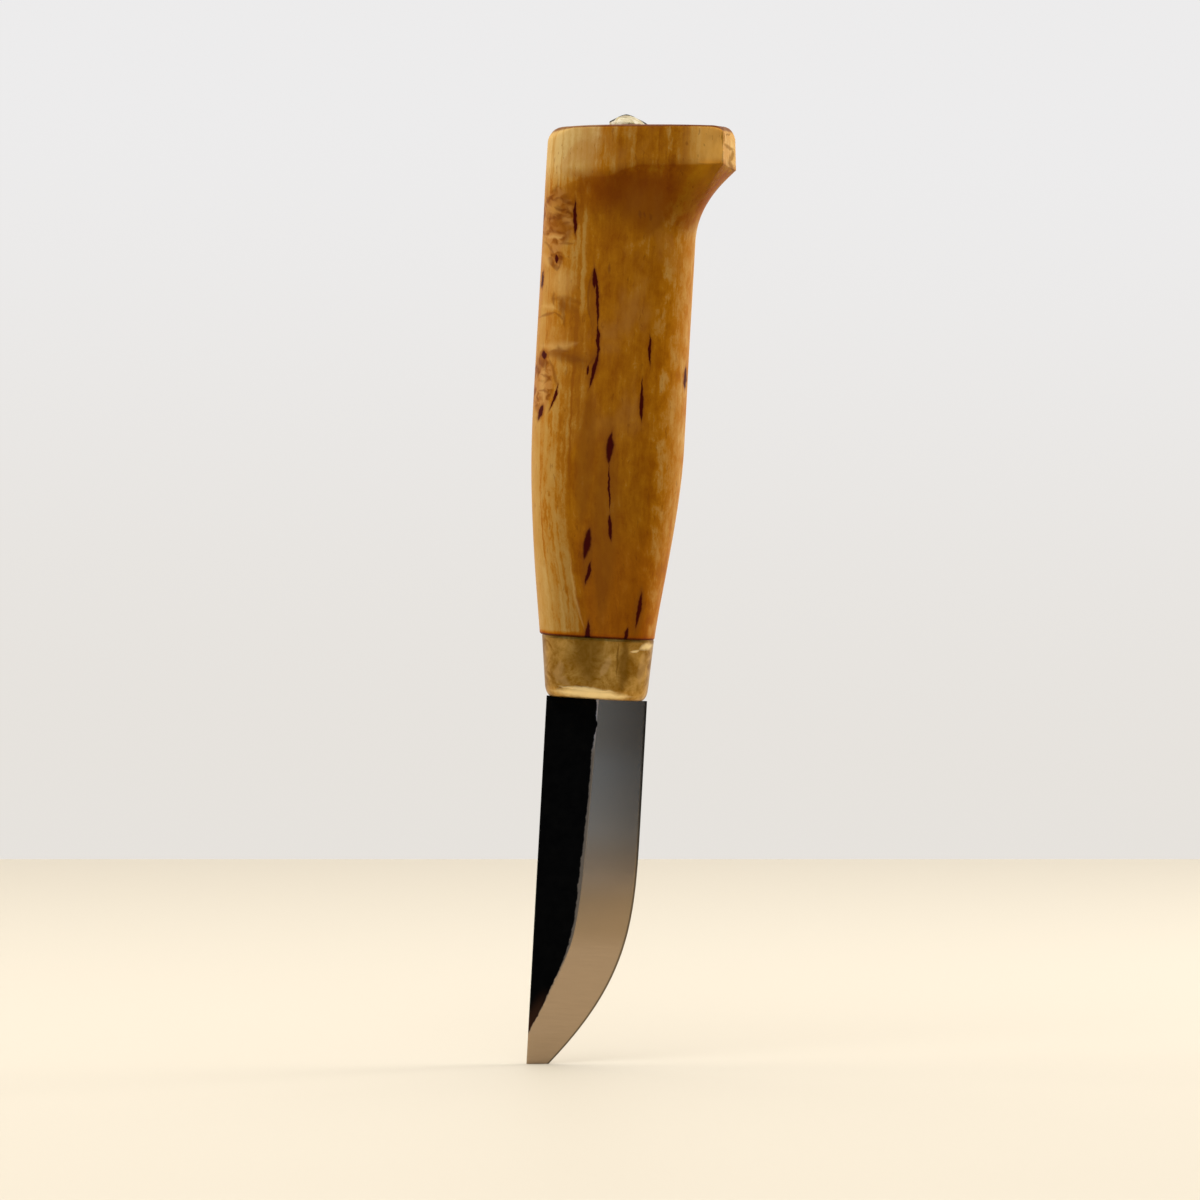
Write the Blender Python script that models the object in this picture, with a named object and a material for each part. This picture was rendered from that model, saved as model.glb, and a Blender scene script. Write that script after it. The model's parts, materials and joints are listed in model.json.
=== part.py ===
"""A bushcraft knife standing on its point: blade with tang, ferrule, birch handle, bedding, rivet plate.

The origin lies where the spine enters the surface that the point is stuck in. +Z runs up the straight
spine to the pommel, +X points to the cutting edge and Y is the thickness of the knife.
"""
import math

import bmesh
import bpy
import numpy as np

MM = 0.001

# Gap between pieces that are seated on each other
CLEARANCE = 0.3 * MM

# Blade: the edge leaves its straight run BELLY_LENGTH above the tip and sweeps down to it
BLADE_LENGTH = 77.0 * MM
BLADE_WIDTH = 19.8 * MM
BLADE_THICKNESS = 3.0 * MM
STUCK_DEPTH = 4.6 * MM
BELLY_LENGTH = 54.5 * MM
BELLY_REACH = 22.4 * MM
TIP_RISE = 21.0 * MM
SPINE_CHAMFER = 0.25 * MM

# Ground bevel: its upper line sweeps from the shoulder to the spine, GRIND_RUNOUT above the tip
BEVEL_WIDTH = 9.65 * MM
GRIND_TAPER = 1.4 * MM
GRIND_TURN = 23.3 * MM
GRIND_SWEEP = 19.7 * MM
GRIND_RUNOUT = 10.5 * MM
EDGE_BEVEL = 0.55 * MM
EDGE_BEVEL_HALF = 0.13 * MM

# Stick tang, tapering from the shoulder to a stem that is peened over the rivet plate
TANG_AXIS = 9.4 * MM
TANG_WIDTH = 8.0 * MM
TANG_END_WIDTH = 2.6 * MM
TANG_THICKNESS = 2.8 * MM
TANG_ROOT = 0.2 * MM
PEEN_DIAMETER = 4.2 * MM
PEEN_HEIGHT = 0.5 * MM

# Ferrule: an oval brass cup that widens towards the wood
FERRULE_LENGTH = 12.1 * MM
FERRULE_SPINE_STEP = 0.6 * MM
FERRULE_EDGE_STEP = -0.1 * MM
FERRULE_THICKNESS = 14.2 * MM
FERRULE_SPINE_FLARE = 1.0 * MM
FERRULE_EDGE_FLARE = 0.5 * MM
FERRULE_FACE_FLARE = 1.4 * MM
FERRULE_FLOOR = 3.0 * MM
FERRULE_WALL = 1.5 * MM
FERRULE_LIP_INSET = 1.4 * MM
FERRULE_LIP_HEIGHT = 2.2 * MM

# Handle: wood stands a little proud at the joint, swells to the grip and flares to a beaked pommel
HANDLE_LENGTH = 99.9 * MM
WOOD_STEP = 0.4 * MM
GRIP_SPINE_SWELL = 3.75 * MM
GRIP_EDGE_SWELL = 3.7 * MM
GRIP_FACE_SWELL = 3.0 * MM
SPINE_TAPER_LENGTH = 44.0 * MM
EDGE_TAPER_LENGTH = 38.0 * MM
NECK_WAIST = 0.8 * MM
COVE_LENGTH = 14.5 * MM
POMMEL_BAND = 7.5 * MM
BEAK_REACH = 7.2 * MM
BEAK_LEAN = 0.7 * MM
BEAK_FACET_START = 4.5 * MM
POMMEL_FACE_FLARE = 3.6 * MM
POMMEL_TILT = math.radians(3.3)
POMMEL_CORNER = 3.0 * MM
POMMEL_EDGE = 0.5 * MM
POMMEL_CROWN = 0.4 * MM
POMMEL_WEB = 7.0 * MM

# Ridge between cove and band: straight to the beak, stepped down on the way to the spine, then faded out
RIDGE_STEP = 2.2 * MM
RIDGE_STEP_PLACE = 12.0 * MM
RIDGE_STEP_RUN = 6.0 * MM
RIDGE_FADE = 2.6 * MM
RIDGE_FADE_PLACE = 3.0 * MM
RIDGE_FADE_RUN = 8.0 * MM

# Resin sleeve round the tang, inside the bored handle
BEDDING_WALL = 1.0 * MM

# Rhombic rivet plate on the pommel
PLATE_WIDTH = 7.7 * MM
PLATE_DEPTH = 9.4 * MM
PLATE_RIM = 0.6 * MM
PLATE_CROWN = 1.2 * MM
PLATE_LAND = 10.4 * MM

# Shape of the oval sections: 2 is an ellipse, higher is squarer, 1 is a rhombus
FERRULE_POWER = 2.6
GRIP_POWER = 2.4
POMMEL_POWER = 4.0
BEAK_POWER = 6.0
LAND_POWER = 2.0
TANG_POWER = 5.0
PLATE_POWER = 1.12
PEEN_POWER = 2.0

# Steepness of the cove under the pommel, and how the edge side's taper starts slower than the spine's
COVE_POWER = 2.2
SPINE_TAPER_LEAD = 1.0
EDGE_TAPER_LEAD = 1.2

# Slope of the facets that cut the beak's end, across its thickness
BEAK_FACET_SLOPE = 0.3

# Shares of the handle's width: where the face flare is full and where the pommel's corners begin
FLARE_FULL = 0.42
CORNER_START = 0.3

# Fineness of the facets
OVAL_COUNT = 56
TANG_COUNT = 20
BLADE_STATIONS = 34
TAPER_STATIONS = 9
GRIP_STATIONS = 4
COVE_STATIONS = 9
CORNER_STATIONS = 4
CURVE_SAMPLES = 240
SHARP_ANGLE = math.radians(35)

# Heights along the knife, each worked out from the piece below it
TIP_Z = -STUCK_DEPTH
SHOULDER_Z = TIP_Z + BLADE_LENGTH
FERRULE_Z = SHOULDER_Z + CLEARANCE
FERRULE_FLOOR_Z = FERRULE_Z + FERRULE_FLOOR
FERRULE_TOP_Z = FERRULE_Z + FERRULE_LENGTH
SPIGOT_Z = FERRULE_FLOOR_Z + CLEARANCE
JOINT_Z = FERRULE_TOP_Z + CLEARANCE
POMMEL_Z = JOINT_Z + HANDLE_LENGTH
RIDGE_Z = POMMEL_Z - POMMEL_BAND
COVE_Z = RIDGE_Z - COVE_LENGTH
WEB_Z = POMMEL_Z - POMMEL_WEB
LAND_Z = POMMEL_Z + POMMEL_CROWN
PLATE_Z = LAND_Z + CLEARANCE
PEEN_Z = PLATE_Z + PLATE_CROWN + CLEARANCE

COLOURS = {
    "forged_steel": ((0.045, 0.045, 0.05), 0.45, 1.0),
    "brass": ((0.62, 0.44, 0.2), 0.32, 1.0),
    "oiled_birch": ((0.36, 0.17, 0.05), 0.4, 0.0),
    "resin": ((0.35, 0.24, 0.1), 0.5, 0.0),
}


def material(name):
    """Principled material with the colour, roughness and metallic value listed for it."""
    colour, roughness, metallic = COLOURS[name]
    made = bpy.data.materials.new(name)
    made.use_nodes = True
    shader = made.node_tree.nodes["Principled BSDF"]
    shader.inputs["Base Color"].default_value = (*colour, 1.0)
    shader.inputs["Roughness"].default_value = roughness
    shader.inputs["Metallic"].default_value = metallic
    return made


def ease(value, length, lead):
    """Rise from 0 to 1 over length, levelling out smoothly at the top."""
    share = min(max(value / length, 0.0), 1.0)
    return math.sin(math.pi / 2 * share ** lead)


def smooth_step(share):
    """Rise from 0 to 1, level at both ends."""
    share = min(max(share, 0.0), 1.0)
    return share * share * (3 - 2 * share)


def mix(low, high, share):
    """Value that lies share of the way from low to high."""
    return low + (high - low) * share


def sweep(start, leave, arrive, end):
    """Cubic curve through (height, reach) points, as a function that gives reach at a height."""
    t = np.linspace(0.0, 1.0, CURVE_SAMPLES)[:, None]
    corners = [np.array(point) for point in (start, leave, arrive, end)]
    weights = ((1 - t) ** 3, 3 * (1 - t) ** 2 * t, 3 * (1 - t) * t ** 2, t ** 3)
    curve = sum(weight * corner for weight, corner in zip(weights, corners))
    order = np.argsort(curve[:, 0])
    return lambda height: float(np.interp(height, curve[order, 0], curve[order, 1]))


def oval(low, high, half, power, count, high_power=None):
    """Superellipse from low to high along X, half thick to each side; high_power shapes its high end."""
    centre = (low + high) / 2
    reach = (high - low) / 2
    points = []
    for step in range(count):
        turn = 2 * math.pi * step / count
        along = math.cos(turn)
        across = math.sin(turn)
        bend = 2 / (high_power if high_power and along > 0 else power)
        x = centre + reach * math.copysign(abs(along) ** bend, along)
        y = half * math.copysign(abs(across) ** bend, across)
        points.append((x, y))
    return points


def pommel_rise(x):
    """Rise of the tilted pommel above its height on the tang axis."""
    return math.tan(POMMEL_TILT) * (x - TANG_AXIS)


def level(points, z):
    """Ring of points, all at height z."""
    return [(x, y, z) for x, y in points]


def tilted(points, z, share=1.0):
    """Ring of points that lean with the pommel by share of its tilt."""
    return [(x, y, z + share * pommel_rise(x)) for x, y in points]


def skin(name, rings, closed):
    """Mesh swept through rings of equal count: closed joins the last to the first, or both ends are filled."""
    bm = bmesh.new()
    place = bm.verts.layers.int.new("place")
    verts = [bm.verts.new(point) for point in rings[0]]
    for index, vert in enumerate(verts):
        vert[place] = index
    edges = [bm.edges.new((verts[i - 1], verts[i])) for i in range(len(verts))]
    for ring in rings[1:] + (rings[:1] if closed else []):
        grown = bmesh.ops.extrude_edge_only(bm, edges=edges)["geom"]
        edges = [item for item in grown if isinstance(item, bmesh.types.BMEdge)]
        for vert in (item for item in grown if isinstance(item, bmesh.types.BMVert)):
            vert.co = ring[vert[place]]
    bmesh.ops.remove_doubles(bm, verts=bm.verts[:], dist=0.001 * MM)
    bmesh.ops.holes_fill(bm, edges=[edge for edge in bm.edges if edge.is_boundary])
    bmesh.ops.recalc_face_normals(bm, faces=bm.faces[:])
    mesh = bpy.data.meshes.new(name)
    bm.to_mesh(mesh)
    bm.free()
    mesh.shade_smooth()
    mesh.set_sharp_from_angle(angle=SHARP_ANGLE)
    return mesh


def piece(name, mesh, finish):
    """Named object for one physical piece."""
    made = bpy.data.objects.new(name, mesh)
    mesh.materials.append(finish)
    bpy.context.scene.collection.objects.link(made)
    return made


def tang_half_width(z):
    """Half the tang's width at height z, tapering evenly from shoulder to peen."""
    return mix(TANG_WIDTH, TANG_END_WIDTH, (z - SHOULDER_Z) / (PEEN_Z - SHOULDER_Z)) / 2


def tang_oval(z, growth, count):
    """Section of the tang at height z, grown on every side."""
    half = tang_half_width(z) + growth
    return oval(TANG_AXIS - half, TANG_AXIS + half, TANG_THICKNESS / 2 + growth, TANG_POWER, count)


def bore_oval(inset):
    """Straight bore that takes the tang's widest end and the resin round it, drawn in by inset."""
    grown = BEDDING_WALL + 2 * CLEARANCE - inset
    half = TANG_WIDTH / 2 + grown
    return oval(TANG_AXIS - half, TANG_AXIS + half, TANG_THICKNESS / 2 + grown, TANG_POWER, OVAL_COUNT)


def ferrule_oval(z, inset):
    """Outer section of the ferrule at height z, drawn in by inset."""
    share = (z - FERRULE_Z) / FERRULE_LENGTH
    low = -FERRULE_SPINE_STEP - FERRULE_SPINE_FLARE * share
    high = BLADE_WIDTH + FERRULE_EDGE_STEP + FERRULE_EDGE_FLARE * share
    half = FERRULE_THICKNESS / 2 + FERRULE_FACE_FLARE * share
    return oval(low + inset, high - inset, half - inset, FERRULE_POWER, OVAL_COUNT)


def handle_span(z):
    """Lowest and highest X of the wood at height z, and how far its cove has flared, from 0 to 1."""
    above = z - JOINT_Z
    flare = min(max((z - COVE_Z) / COVE_LENGTH, 0.0), 1.0) ** COVE_POWER
    low = -FERRULE_SPINE_STEP - FERRULE_SPINE_FLARE - WOOD_STEP
    low -= GRIP_SPINE_SWELL * ease(above, SPINE_TAPER_LENGTH, SPINE_TAPER_LEAD)
    high = BLADE_WIDTH + FERRULE_EDGE_STEP + FERRULE_EDGE_FLARE + WOOD_STEP
    high += GRIP_EDGE_SWELL * ease(above, EDGE_TAPER_LENGTH, EDGE_TAPER_LEAD) + BEAK_REACH * flare
    high -= BEAK_LEAN * min(max((z - RIDGE_Z) / (POMMEL_Z - RIDGE_Z), 0.0), 1.0)
    return low, high, flare


def handle_oval(z, end_inset, face_inset):
    """Outer section of the wood at height z, drawn in at its ends and on its faces."""
    low, high, flare = handle_span(z)
    swell = ease(z - JOINT_Z, SPINE_TAPER_LENGTH, SPINE_TAPER_LEAD)
    taper_z = JOINT_Z + SPINE_TAPER_LENGTH
    half = FERRULE_THICKNESS / 2 + FERRULE_FACE_FLARE + WOOD_STEP + GRIP_FACE_SWELL * swell
    half -= NECK_WAIST * smooth_step((z - taper_z) / (COVE_Z - taper_z))
    grip_power = mix(FERRULE_POWER, GRIP_POWER, swell)
    powers = mix(grip_power, POMMEL_POWER, flare), mix(grip_power, BEAK_POWER, flare)
    flared = []
    for x, y in oval(low + end_inset, high - end_inset, half - face_inset, powers[0], OVAL_COUNT, powers[1]):
        fade = smooth_step((x - low) / (high - low) / FLARE_FULL)
        y *= 1 + POMMEL_FACE_FLARE * flare * fade / half
        facet = high - end_inset - BEAK_FACET_SLOPE * (abs(y) - BEAK_FACET_START)
        flared.append((mix(x, min(x, facet), flare), y))
    return flared


def ridge_drop(x):
    """Depth of the ridge at x below its straight run to the beak."""
    step = RIDGE_STEP * smooth_step((RIDGE_STEP_PLACE - x) / RIDGE_STEP_RUN)
    return step + RIDGE_FADE * smooth_step((RIDGE_FADE_PLACE - x) / RIDGE_FADE_RUN)


def cove_ring(z):
    """Section of the wood at height z: the cove leans with the pommel and drops towards the spine."""
    share = smooth_step((z - COVE_Z) / COVE_LENGTH)
    ring = tilted(handle_oval(z, 0.0, 0.0), z, share)
    return [(x, y, tilted_z - share * ridge_drop(x)) for x, y, tilted_z in ring]


def pommel_ring(turn):
    """Ring of the pommel's rounded top edge at angle turn, wide at both ends and tight along the faces."""
    low, high, _ = handle_span(POMMEL_Z)
    inward = 1 - math.cos(turn)
    below = 1 - math.sin(turn)
    ring = []
    for x, y, z in tilted(handle_oval(POMMEL_Z, POMMEL_CORNER * inward, POMMEL_EDGE * inward), POMMEL_Z):
        outward = abs(2 * (x - low) / (high - low) - 1)
        corner = smooth_step((outward - 1 + CORNER_START) / CORNER_START)
        ring.append((x, y, z - mix(POMMEL_EDGE, POMMEL_CORNER, corner) * below))
    return ring


def blade_ring(z, edge_x, grind_x):
    """Section of the blade at height z: spine, flats, ground bevels and the fine bevel of the edge."""
    runout = min(1.0, (z - TIP_Z) / GRIND_RUNOUT)
    half = BLADE_THICKNESS / 2 * runout
    chamfer = SPINE_CHAMFER * runout
    grind = max(grind_x, 2 * chamfer)
    fine = edge_x - EDGE_BEVEL * runout
    fine_half = EDGE_BEVEL_HALF * runout
    side = [(0.0, half - chamfer), (chamfer, half), (grind, half), (fine, fine_half)]
    outline = side + [(edge_x, 0.0)] + [(x, -y) for x, y in reversed(side)]
    return level(outline, z)


def blade_rings():
    """Sections from the tip to the shoulder, closer together where the edge curves most."""
    edge = sweep((TIP_Z + BELLY_LENGTH, BLADE_WIDTH), (TIP_Z + BELLY_LENGTH - BELLY_REACH, BLADE_WIDTH),
                 (TIP_Z + TIP_RISE, BLADE_WIDTH), (TIP_Z, 0.0))
    grind_top = BLADE_WIDTH - BEVEL_WIDTH
    grind_low = grind_top - GRIND_TAPER
    runout_z = TIP_Z + GRIND_RUNOUT
    grind = sweep((SHOULDER_Z, grind_top), (TIP_Z + GRIND_TURN, grind_low),
                  (runout_z + GRIND_SWEEP, grind_low), (runout_z, 0.0))
    rings = []
    for station in range(BLADE_STATIONS + 1):
        z = TIP_Z + BLADE_LENGTH * (station / BLADE_STATIONS) ** 1.5
        rings.append(blade_ring(z, edge(z), grind(z)))
    return rings


def tang_rings():
    """Sections of the tang from inside the shoulder to the domed peen on the rivet plate."""
    rings = [level(tang_oval(z, 0.0, TANG_COUNT), z) for z in (SHOULDER_Z - TANG_ROOT, WEB_Z)]
    rings.append(tilted(tang_oval(PEEN_Z, 0.0, TANG_COUNT), PEEN_Z))
    for step in range(CORNER_STATIONS + 1):
        lift = math.pi / 2 * step / CORNER_STATIONS
        radius = PEEN_DIAMETER / 2 * math.cos(lift)
        dome = oval(TANG_AXIS - radius, TANG_AXIS + radius, radius, PEEN_POWER, TANG_COUNT)
        rings.append(tilted(dome, PEEN_Z + PEEN_HEIGHT * math.sin(lift)))
    return rings


def make_blade():
    """Blade and tang, one piece of steel."""
    steel = material("forged_steel")
    tang = piece("tang_stock", skin("tang_stock", tang_rings(), closed=False), steel)
    tang.hide_render = True
    tang.display_type = "WIRE"
    blade = piece("blade", skin("blade", blade_rings(), closed=False), steel)
    weld = blade.modifiers.new("tang", "BOOLEAN")
    weld.operation = "UNION"
    weld.solver = "EXACT"
    weld.object = tang


def make_ferrule():
    """Brass cup: rounded lip, flared wall, seat for the wood and a slot for the tang."""
    slot_low = level(tang_oval(FERRULE_Z, CLEARANCE, OVAL_COUNT), FERRULE_Z)
    slot_high = level(tang_oval(FERRULE_FLOOR_Z, CLEARANCE, OVAL_COUNT), FERRULE_FLOOR_Z)
    rings = [slot_high, slot_low]
    for step in range(CORNER_STATIONS + 1):
        turn = math.pi / 2 * step / CORNER_STATIONS
        z = FERRULE_Z + FERRULE_LIP_HEIGHT * (1 - math.cos(turn))
        rings.append(level(ferrule_oval(z, FERRULE_LIP_INSET * (1 - math.sin(turn))), z))
    rings.append(level(ferrule_oval(FERRULE_TOP_Z, 0.0), FERRULE_TOP_Z))
    rings.append(level(ferrule_oval(FERRULE_TOP_Z, FERRULE_WALL), FERRULE_TOP_Z))
    rings.append(level(ferrule_oval(FERRULE_FLOOR_Z, FERRULE_WALL), FERRULE_FLOOR_Z))
    piece("ferrule", skin("ferrule", rings, closed=True), material("brass"))


def handle_heights():
    """Heights of the wood's outer sections from the joint to the ridge under the pommel's band."""
    taper_z = JOINT_Z + SPINE_TAPER_LENGTH
    heights = [mix(JOINT_Z, taper_z, i / TAPER_STATIONS) for i in range(TAPER_STATIONS)]
    heights += [mix(taper_z, COVE_Z, i / GRIP_STATIONS) for i in range(GRIP_STATIONS)]
    heights += [mix(COVE_Z, RIDGE_Z, i / COVE_STATIONS) for i in range(COVE_STATIONS)]
    return heights + [RIDGE_Z]


def make_handle():
    """Birch handle: spigot, swelling grip, coved and beaked pommel with a flat land, and a bore from end to end."""
    fit = FERRULE_WALL + CLEARANCE
    rings = [level(bore_oval(0.0), SPIGOT_Z)]
    rings.append(level(ferrule_oval(SPIGOT_Z, fit), SPIGOT_Z))
    rings.append(level(ferrule_oval(FERRULE_TOP_Z, fit), JOINT_Z))
    rings += [cove_ring(z) for z in handle_heights()]
    rings += [pommel_ring(math.pi / 2 * step / CORNER_STATIONS) for step in range(CORNER_STATIONS + 1)]
    half_land = PLATE_LAND / 2
    land = oval(TANG_AXIS - half_land, TANG_AXIS + half_land, half_land, LAND_POWER, OVAL_COUNT)
    rings.append(tilted(land, LAND_Z))
    rings.append(tilted(tang_oval(LAND_Z, CLEARANCE, OVAL_COUNT), LAND_Z))
    rings.append(level(tang_oval(WEB_Z, CLEARANCE, OVAL_COUNT), WEB_Z))
    rings.append(level(bore_oval(0.0), WEB_Z))
    piece("handle", skin("handle", rings, closed=True), material("oiled_birch"))


def make_bedding():
    """Resin sleeve between tang and bore, from the ferrule's floor to the web under the pommel."""
    top = WEB_Z - CLEARANCE
    rings = [
        level(tang_oval(SPIGOT_Z, CLEARANCE, OVAL_COUNT), SPIGOT_Z),
        level(bore_oval(CLEARANCE), SPIGOT_Z),
        level(bore_oval(CLEARANCE), top),
        level(tang_oval(top, CLEARANCE, OVAL_COUNT), top),
    ]
    piece("tang_bedding", skin("tang_bedding", rings, closed=True), material("resin"))


def plate_oval(inset):
    """Rhombic outline of the rivet plate, drawn in by inset."""
    half = PLATE_WIDTH / 2 - inset
    return oval(TANG_AXIS - half, TANG_AXIS + half, PLATE_DEPTH / 2 - inset, PLATE_POWER, TANG_COUNT)


def make_plate():
    """Brass plate that rises from its rim to the hole for the tang."""
    crown_z = PLATE_Z + PLATE_CROWN
    rings = [
        tilted(tang_oval(PLATE_Z, CLEARANCE, TANG_COUNT), PLATE_Z),
        tilted(plate_oval(0.0), PLATE_Z),
        tilted(plate_oval(0.0), PLATE_Z + PLATE_RIM),
        tilted(tang_oval(crown_z, CLEARANCE, TANG_COUNT), crown_z),
    ]
    piece("rivet_plate", skin("rivet_plate", rings, closed=True), material("brass"))


def main():
    for stale in list(bpy.data.objects):
        bpy.data.objects.remove(stale)
    make_blade()
    make_ferrule()
    make_handle()
    make_bedding()
    make_plate()


main()
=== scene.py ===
"""Looks of a bushcraft knife that stands on its point: dense pieces, finishes, floor, light and camera.

The frame is the part's own: +Z runs up the spine, +X runs to the cutting edge, and the origin is where the
spine meets the floor.
"""
import json
import math

import bmesh
import bpy
import numpy as np
from mathutils import Matrix, Vector, noise


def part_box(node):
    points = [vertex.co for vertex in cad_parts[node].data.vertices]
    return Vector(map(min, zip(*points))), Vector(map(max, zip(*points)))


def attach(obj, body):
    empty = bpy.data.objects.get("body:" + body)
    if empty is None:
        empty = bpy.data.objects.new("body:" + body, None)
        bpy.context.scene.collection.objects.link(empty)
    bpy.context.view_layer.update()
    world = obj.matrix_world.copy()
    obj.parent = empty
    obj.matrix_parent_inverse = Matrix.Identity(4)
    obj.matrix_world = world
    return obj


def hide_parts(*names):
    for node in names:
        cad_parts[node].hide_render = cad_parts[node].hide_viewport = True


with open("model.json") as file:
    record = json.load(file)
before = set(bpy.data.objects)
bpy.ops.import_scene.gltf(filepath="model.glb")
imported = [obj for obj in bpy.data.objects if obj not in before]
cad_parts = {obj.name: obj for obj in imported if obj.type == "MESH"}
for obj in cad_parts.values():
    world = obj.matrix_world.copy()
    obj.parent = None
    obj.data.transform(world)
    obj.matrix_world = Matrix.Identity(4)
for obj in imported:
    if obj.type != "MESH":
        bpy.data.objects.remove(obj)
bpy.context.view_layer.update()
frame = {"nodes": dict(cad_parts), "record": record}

MM = 0.001
CLEARANCE = 0.3 * MM
CONTACT_GAP = 0.02 * MM
BODY = "root"

# Places and sizes that the frame gives
BLADE_LOW, BLADE_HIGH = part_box("blade")
FERRULE_LOW, FERRULE_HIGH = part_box("ferrule")
HANDLE_LOW, HANDLE_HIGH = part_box("handle")
BEDDING_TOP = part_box("tang_bedding")[1].z
PLATE_LOW, PLATE_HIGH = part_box("rivet_plate")
MOUNTS = {mount["name"]: mount for mount in frame["record"]["mounts"]}

# Blade: edge and grind line sweep down to the tip
BLADE_WIDTH = BLADE_HIGH.x
BLADE_THICKNESS = 2 * abs(MOUNTS["blade_flat_front"]["pos_m"][1])
TIP_Z = BLADE_LOW.z
SHOULDER_Z = FERRULE_LOW.z - CONTACT_GAP
BELLY_LENGTH = 54.5 * MM
BELLY_REACH = 22.4 * MM
TIP_RISE = 21.0 * MM
SPINE_CHAMFER = 0.25 * MM
BEVEL_WIDTH = 9.65 * MM
GRIND_TAPER = 1.4 * MM
GRIND_TURN = 23.3 * MM
GRIND_SWEEP = 19.7 * MM
GRIND_RUNOUT = 10.5 * MM
BEVEL_CROWN = 0.04 * MM
EDGE_BEVEL = 0.55 * MM
EDGE_BEVEL_HALF = 0.13 * MM

# Tang and its peened end
TANG_AXIS = (PLATE_LOW.x + PLATE_HIGH.x) / 2
TANG_WIDTH = 8.0 * MM
TANG_END_WIDTH = 2.6 * MM
TANG_THICKNESS = 2.8 * MM
TANG_ROOT = 0.2 * MM
PEEN_DIAMETER = 3.4 * MM
PEEN_HEIGHT = 0.6 * MM
PEEN_ROUNDING = 1.4

# Ferrule
FERRULE_LENGTH = FERRULE_HIGH.z - FERRULE_LOW.z
FERRULE_SPINE_FLARE = 1.4 * MM
FERRULE_EDGE_FLARE = 0.8 * MM
FERRULE_EDGE_PROUD = 0.3 * MM
FERRULE_FACE_FLARE = 1.4 * MM
FERRULE_FLOOR = 3.0 * MM
FERRULE_WALL = 1.5 * MM
FERRULE_LIP_INSET = 1.1 * MM
FERRULE_LIP_HEIGHT = 2.2 * MM
FERRULE_RIM = 0.25 * MM

# Handle
JOINT_Z = FERRULE_HIGH.z + CONTACT_GAP
SPIGOT_Z = HANDLE_LOW.z
WEB_Z = BEDDING_TOP + CLEARANCE
POMMEL_WEB = 7.0 * MM
POMMEL_Z = WEB_Z + POMMEL_WEB
COVE_LENGTH = 14.5 * MM
POMMEL_BAND = 7.5 * MM
RIDGE_Z = POMMEL_Z - POMMEL_BAND
COVE_Z = RIDGE_Z - COVE_LENGTH
WOOD_STEP = 0.4 * MM
WOOD_ARRIS = 0.25 * MM
GRIP_SPINE_SWELL = FERRULE_LOW.x - WOOD_STEP - HANDLE_LOW.x
GRIP_EDGE_SWELL = 3.7 * MM
GRIP_FACE_SWELL = 3.0 * MM
SPINE_TAPER_LENGTH = 44.0 * MM
EDGE_TAPER_LENGTH = 38.0 * MM
NECK_WAIST = 0.8 * MM
BEAK_REACH = HANDLE_HIGH.x - FERRULE_HIGH.x - WOOD_STEP - GRIP_EDGE_SWELL
BEAK_LEAN = 0.45 * MM
BEAK_DROP = 1.0 * MM
BEAK_DROP_RUN = 3.2 * MM
BEAK_FACET_START = 4.5 * MM
BEAK_FACET_SLOPE = 0.3
POMMEL_FACE_FLARE = 3.6 * MM
POMMEL_TILT = math.radians(3.3)
POMMEL_CORNER = 3.0 * MM
POMMEL_EDGE = 0.5 * MM
POMMEL_CROWN = 0.4 * MM
RIDGE_STEP = 2.2 * MM
RIDGE_STEP_PLACE = 12.0 * MM
RIDGE_STEP_RUN = 6.0 * MM
RIDGE_FADE = 2.6 * MM
RIDGE_FADE_PLACE = 3.0 * MM
RIDGE_FADE_RUN = 8.0 * MM
HAND_FINISH = 0.06 * MM
HAND_FINISH_SPAN = 14.0 * MM
BEDDING_WALL = 1.0 * MM

# Rivet plate
LAND_Z = POMMEL_Z + POMMEL_CROWN
PLATE_Z = LAND_Z + CONTACT_GAP
PLATE_RIM = 0.55 * MM
PLATE_RIM_SLOPE = 0.09
PLATE_CROWN = 1.6 * MM
PLATE_LAND = 10.4 * MM
PLATE_ARRIS = 0.12 * MM
PLATE_BULGE = 0.05 * MM
PLATE_SHIFT = 0.6 * MM
DENT_DEPTH = 0.12 * MM
DENT_SPAN = 1.6 * MM
PEEN_Z = PLATE_Z + PLATE_CROWN + CONTACT_GAP

# Shape of the oval sections, as powers of a superellipse
FERRULE_POWER = 2.6
GRIP_POWER = 2.4
POMMEL_POWER = 4.0
BEAK_POWER = 6.0
LAND_POWER = 2.0
TANG_POWER = 5.0
PLATE_POWER = 1.12
PEEN_POWER = 2.0

# Shape of the cove and the tapers, as powers, and of the pommel, as shares of its length
COVE_POWER = 2.2
SPINE_TAPER_LEAD = 1.0
EDGE_TAPER_LEAD = 1.2
FLARE_FULL = 0.42
CORNER_START = 0.3

# UV value, in millimetres, that marks the peened end
PEEN_MARK = 60.0

# Slopes of the wood, as parts of its normal, between which its top, cove and beak's underside fade in
TOP_SLOPES = (0.286, 1.0)
COVE_SLOPES = (0.0, 0.55)
BEAK_SLOPES = (0.167, 0.722)
UNDERSIDE_SLOPES = (0.0, 0.3)

# Fineness of the meshes; the blade's stations crowd towards its tip
OVAL_POINTS = 160
TANG_POINTS = 40
BLADE_STATIONS = 170
TIP_CROWDING = 1.3
FLAT_STEPS = 6
BEVEL_STEPS = 9
FERRULE_STATIONS = 22
GRIP_STATIONS = 90
COVE_STATIONS = 34
BAND_STATIONS = 5
CORNER_STATIONS = 8
CROWN_STATIONS = 10
CURVE_SAMPLES = 600
MERGE_DISTANCE = 0.001 * MM

# Angles past which an edge stays hard
BLADE_CREASE = math.radians(3.5)
BODY_CREASE = math.radians(32)
PLATE_CREASE = math.radians(20)

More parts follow.
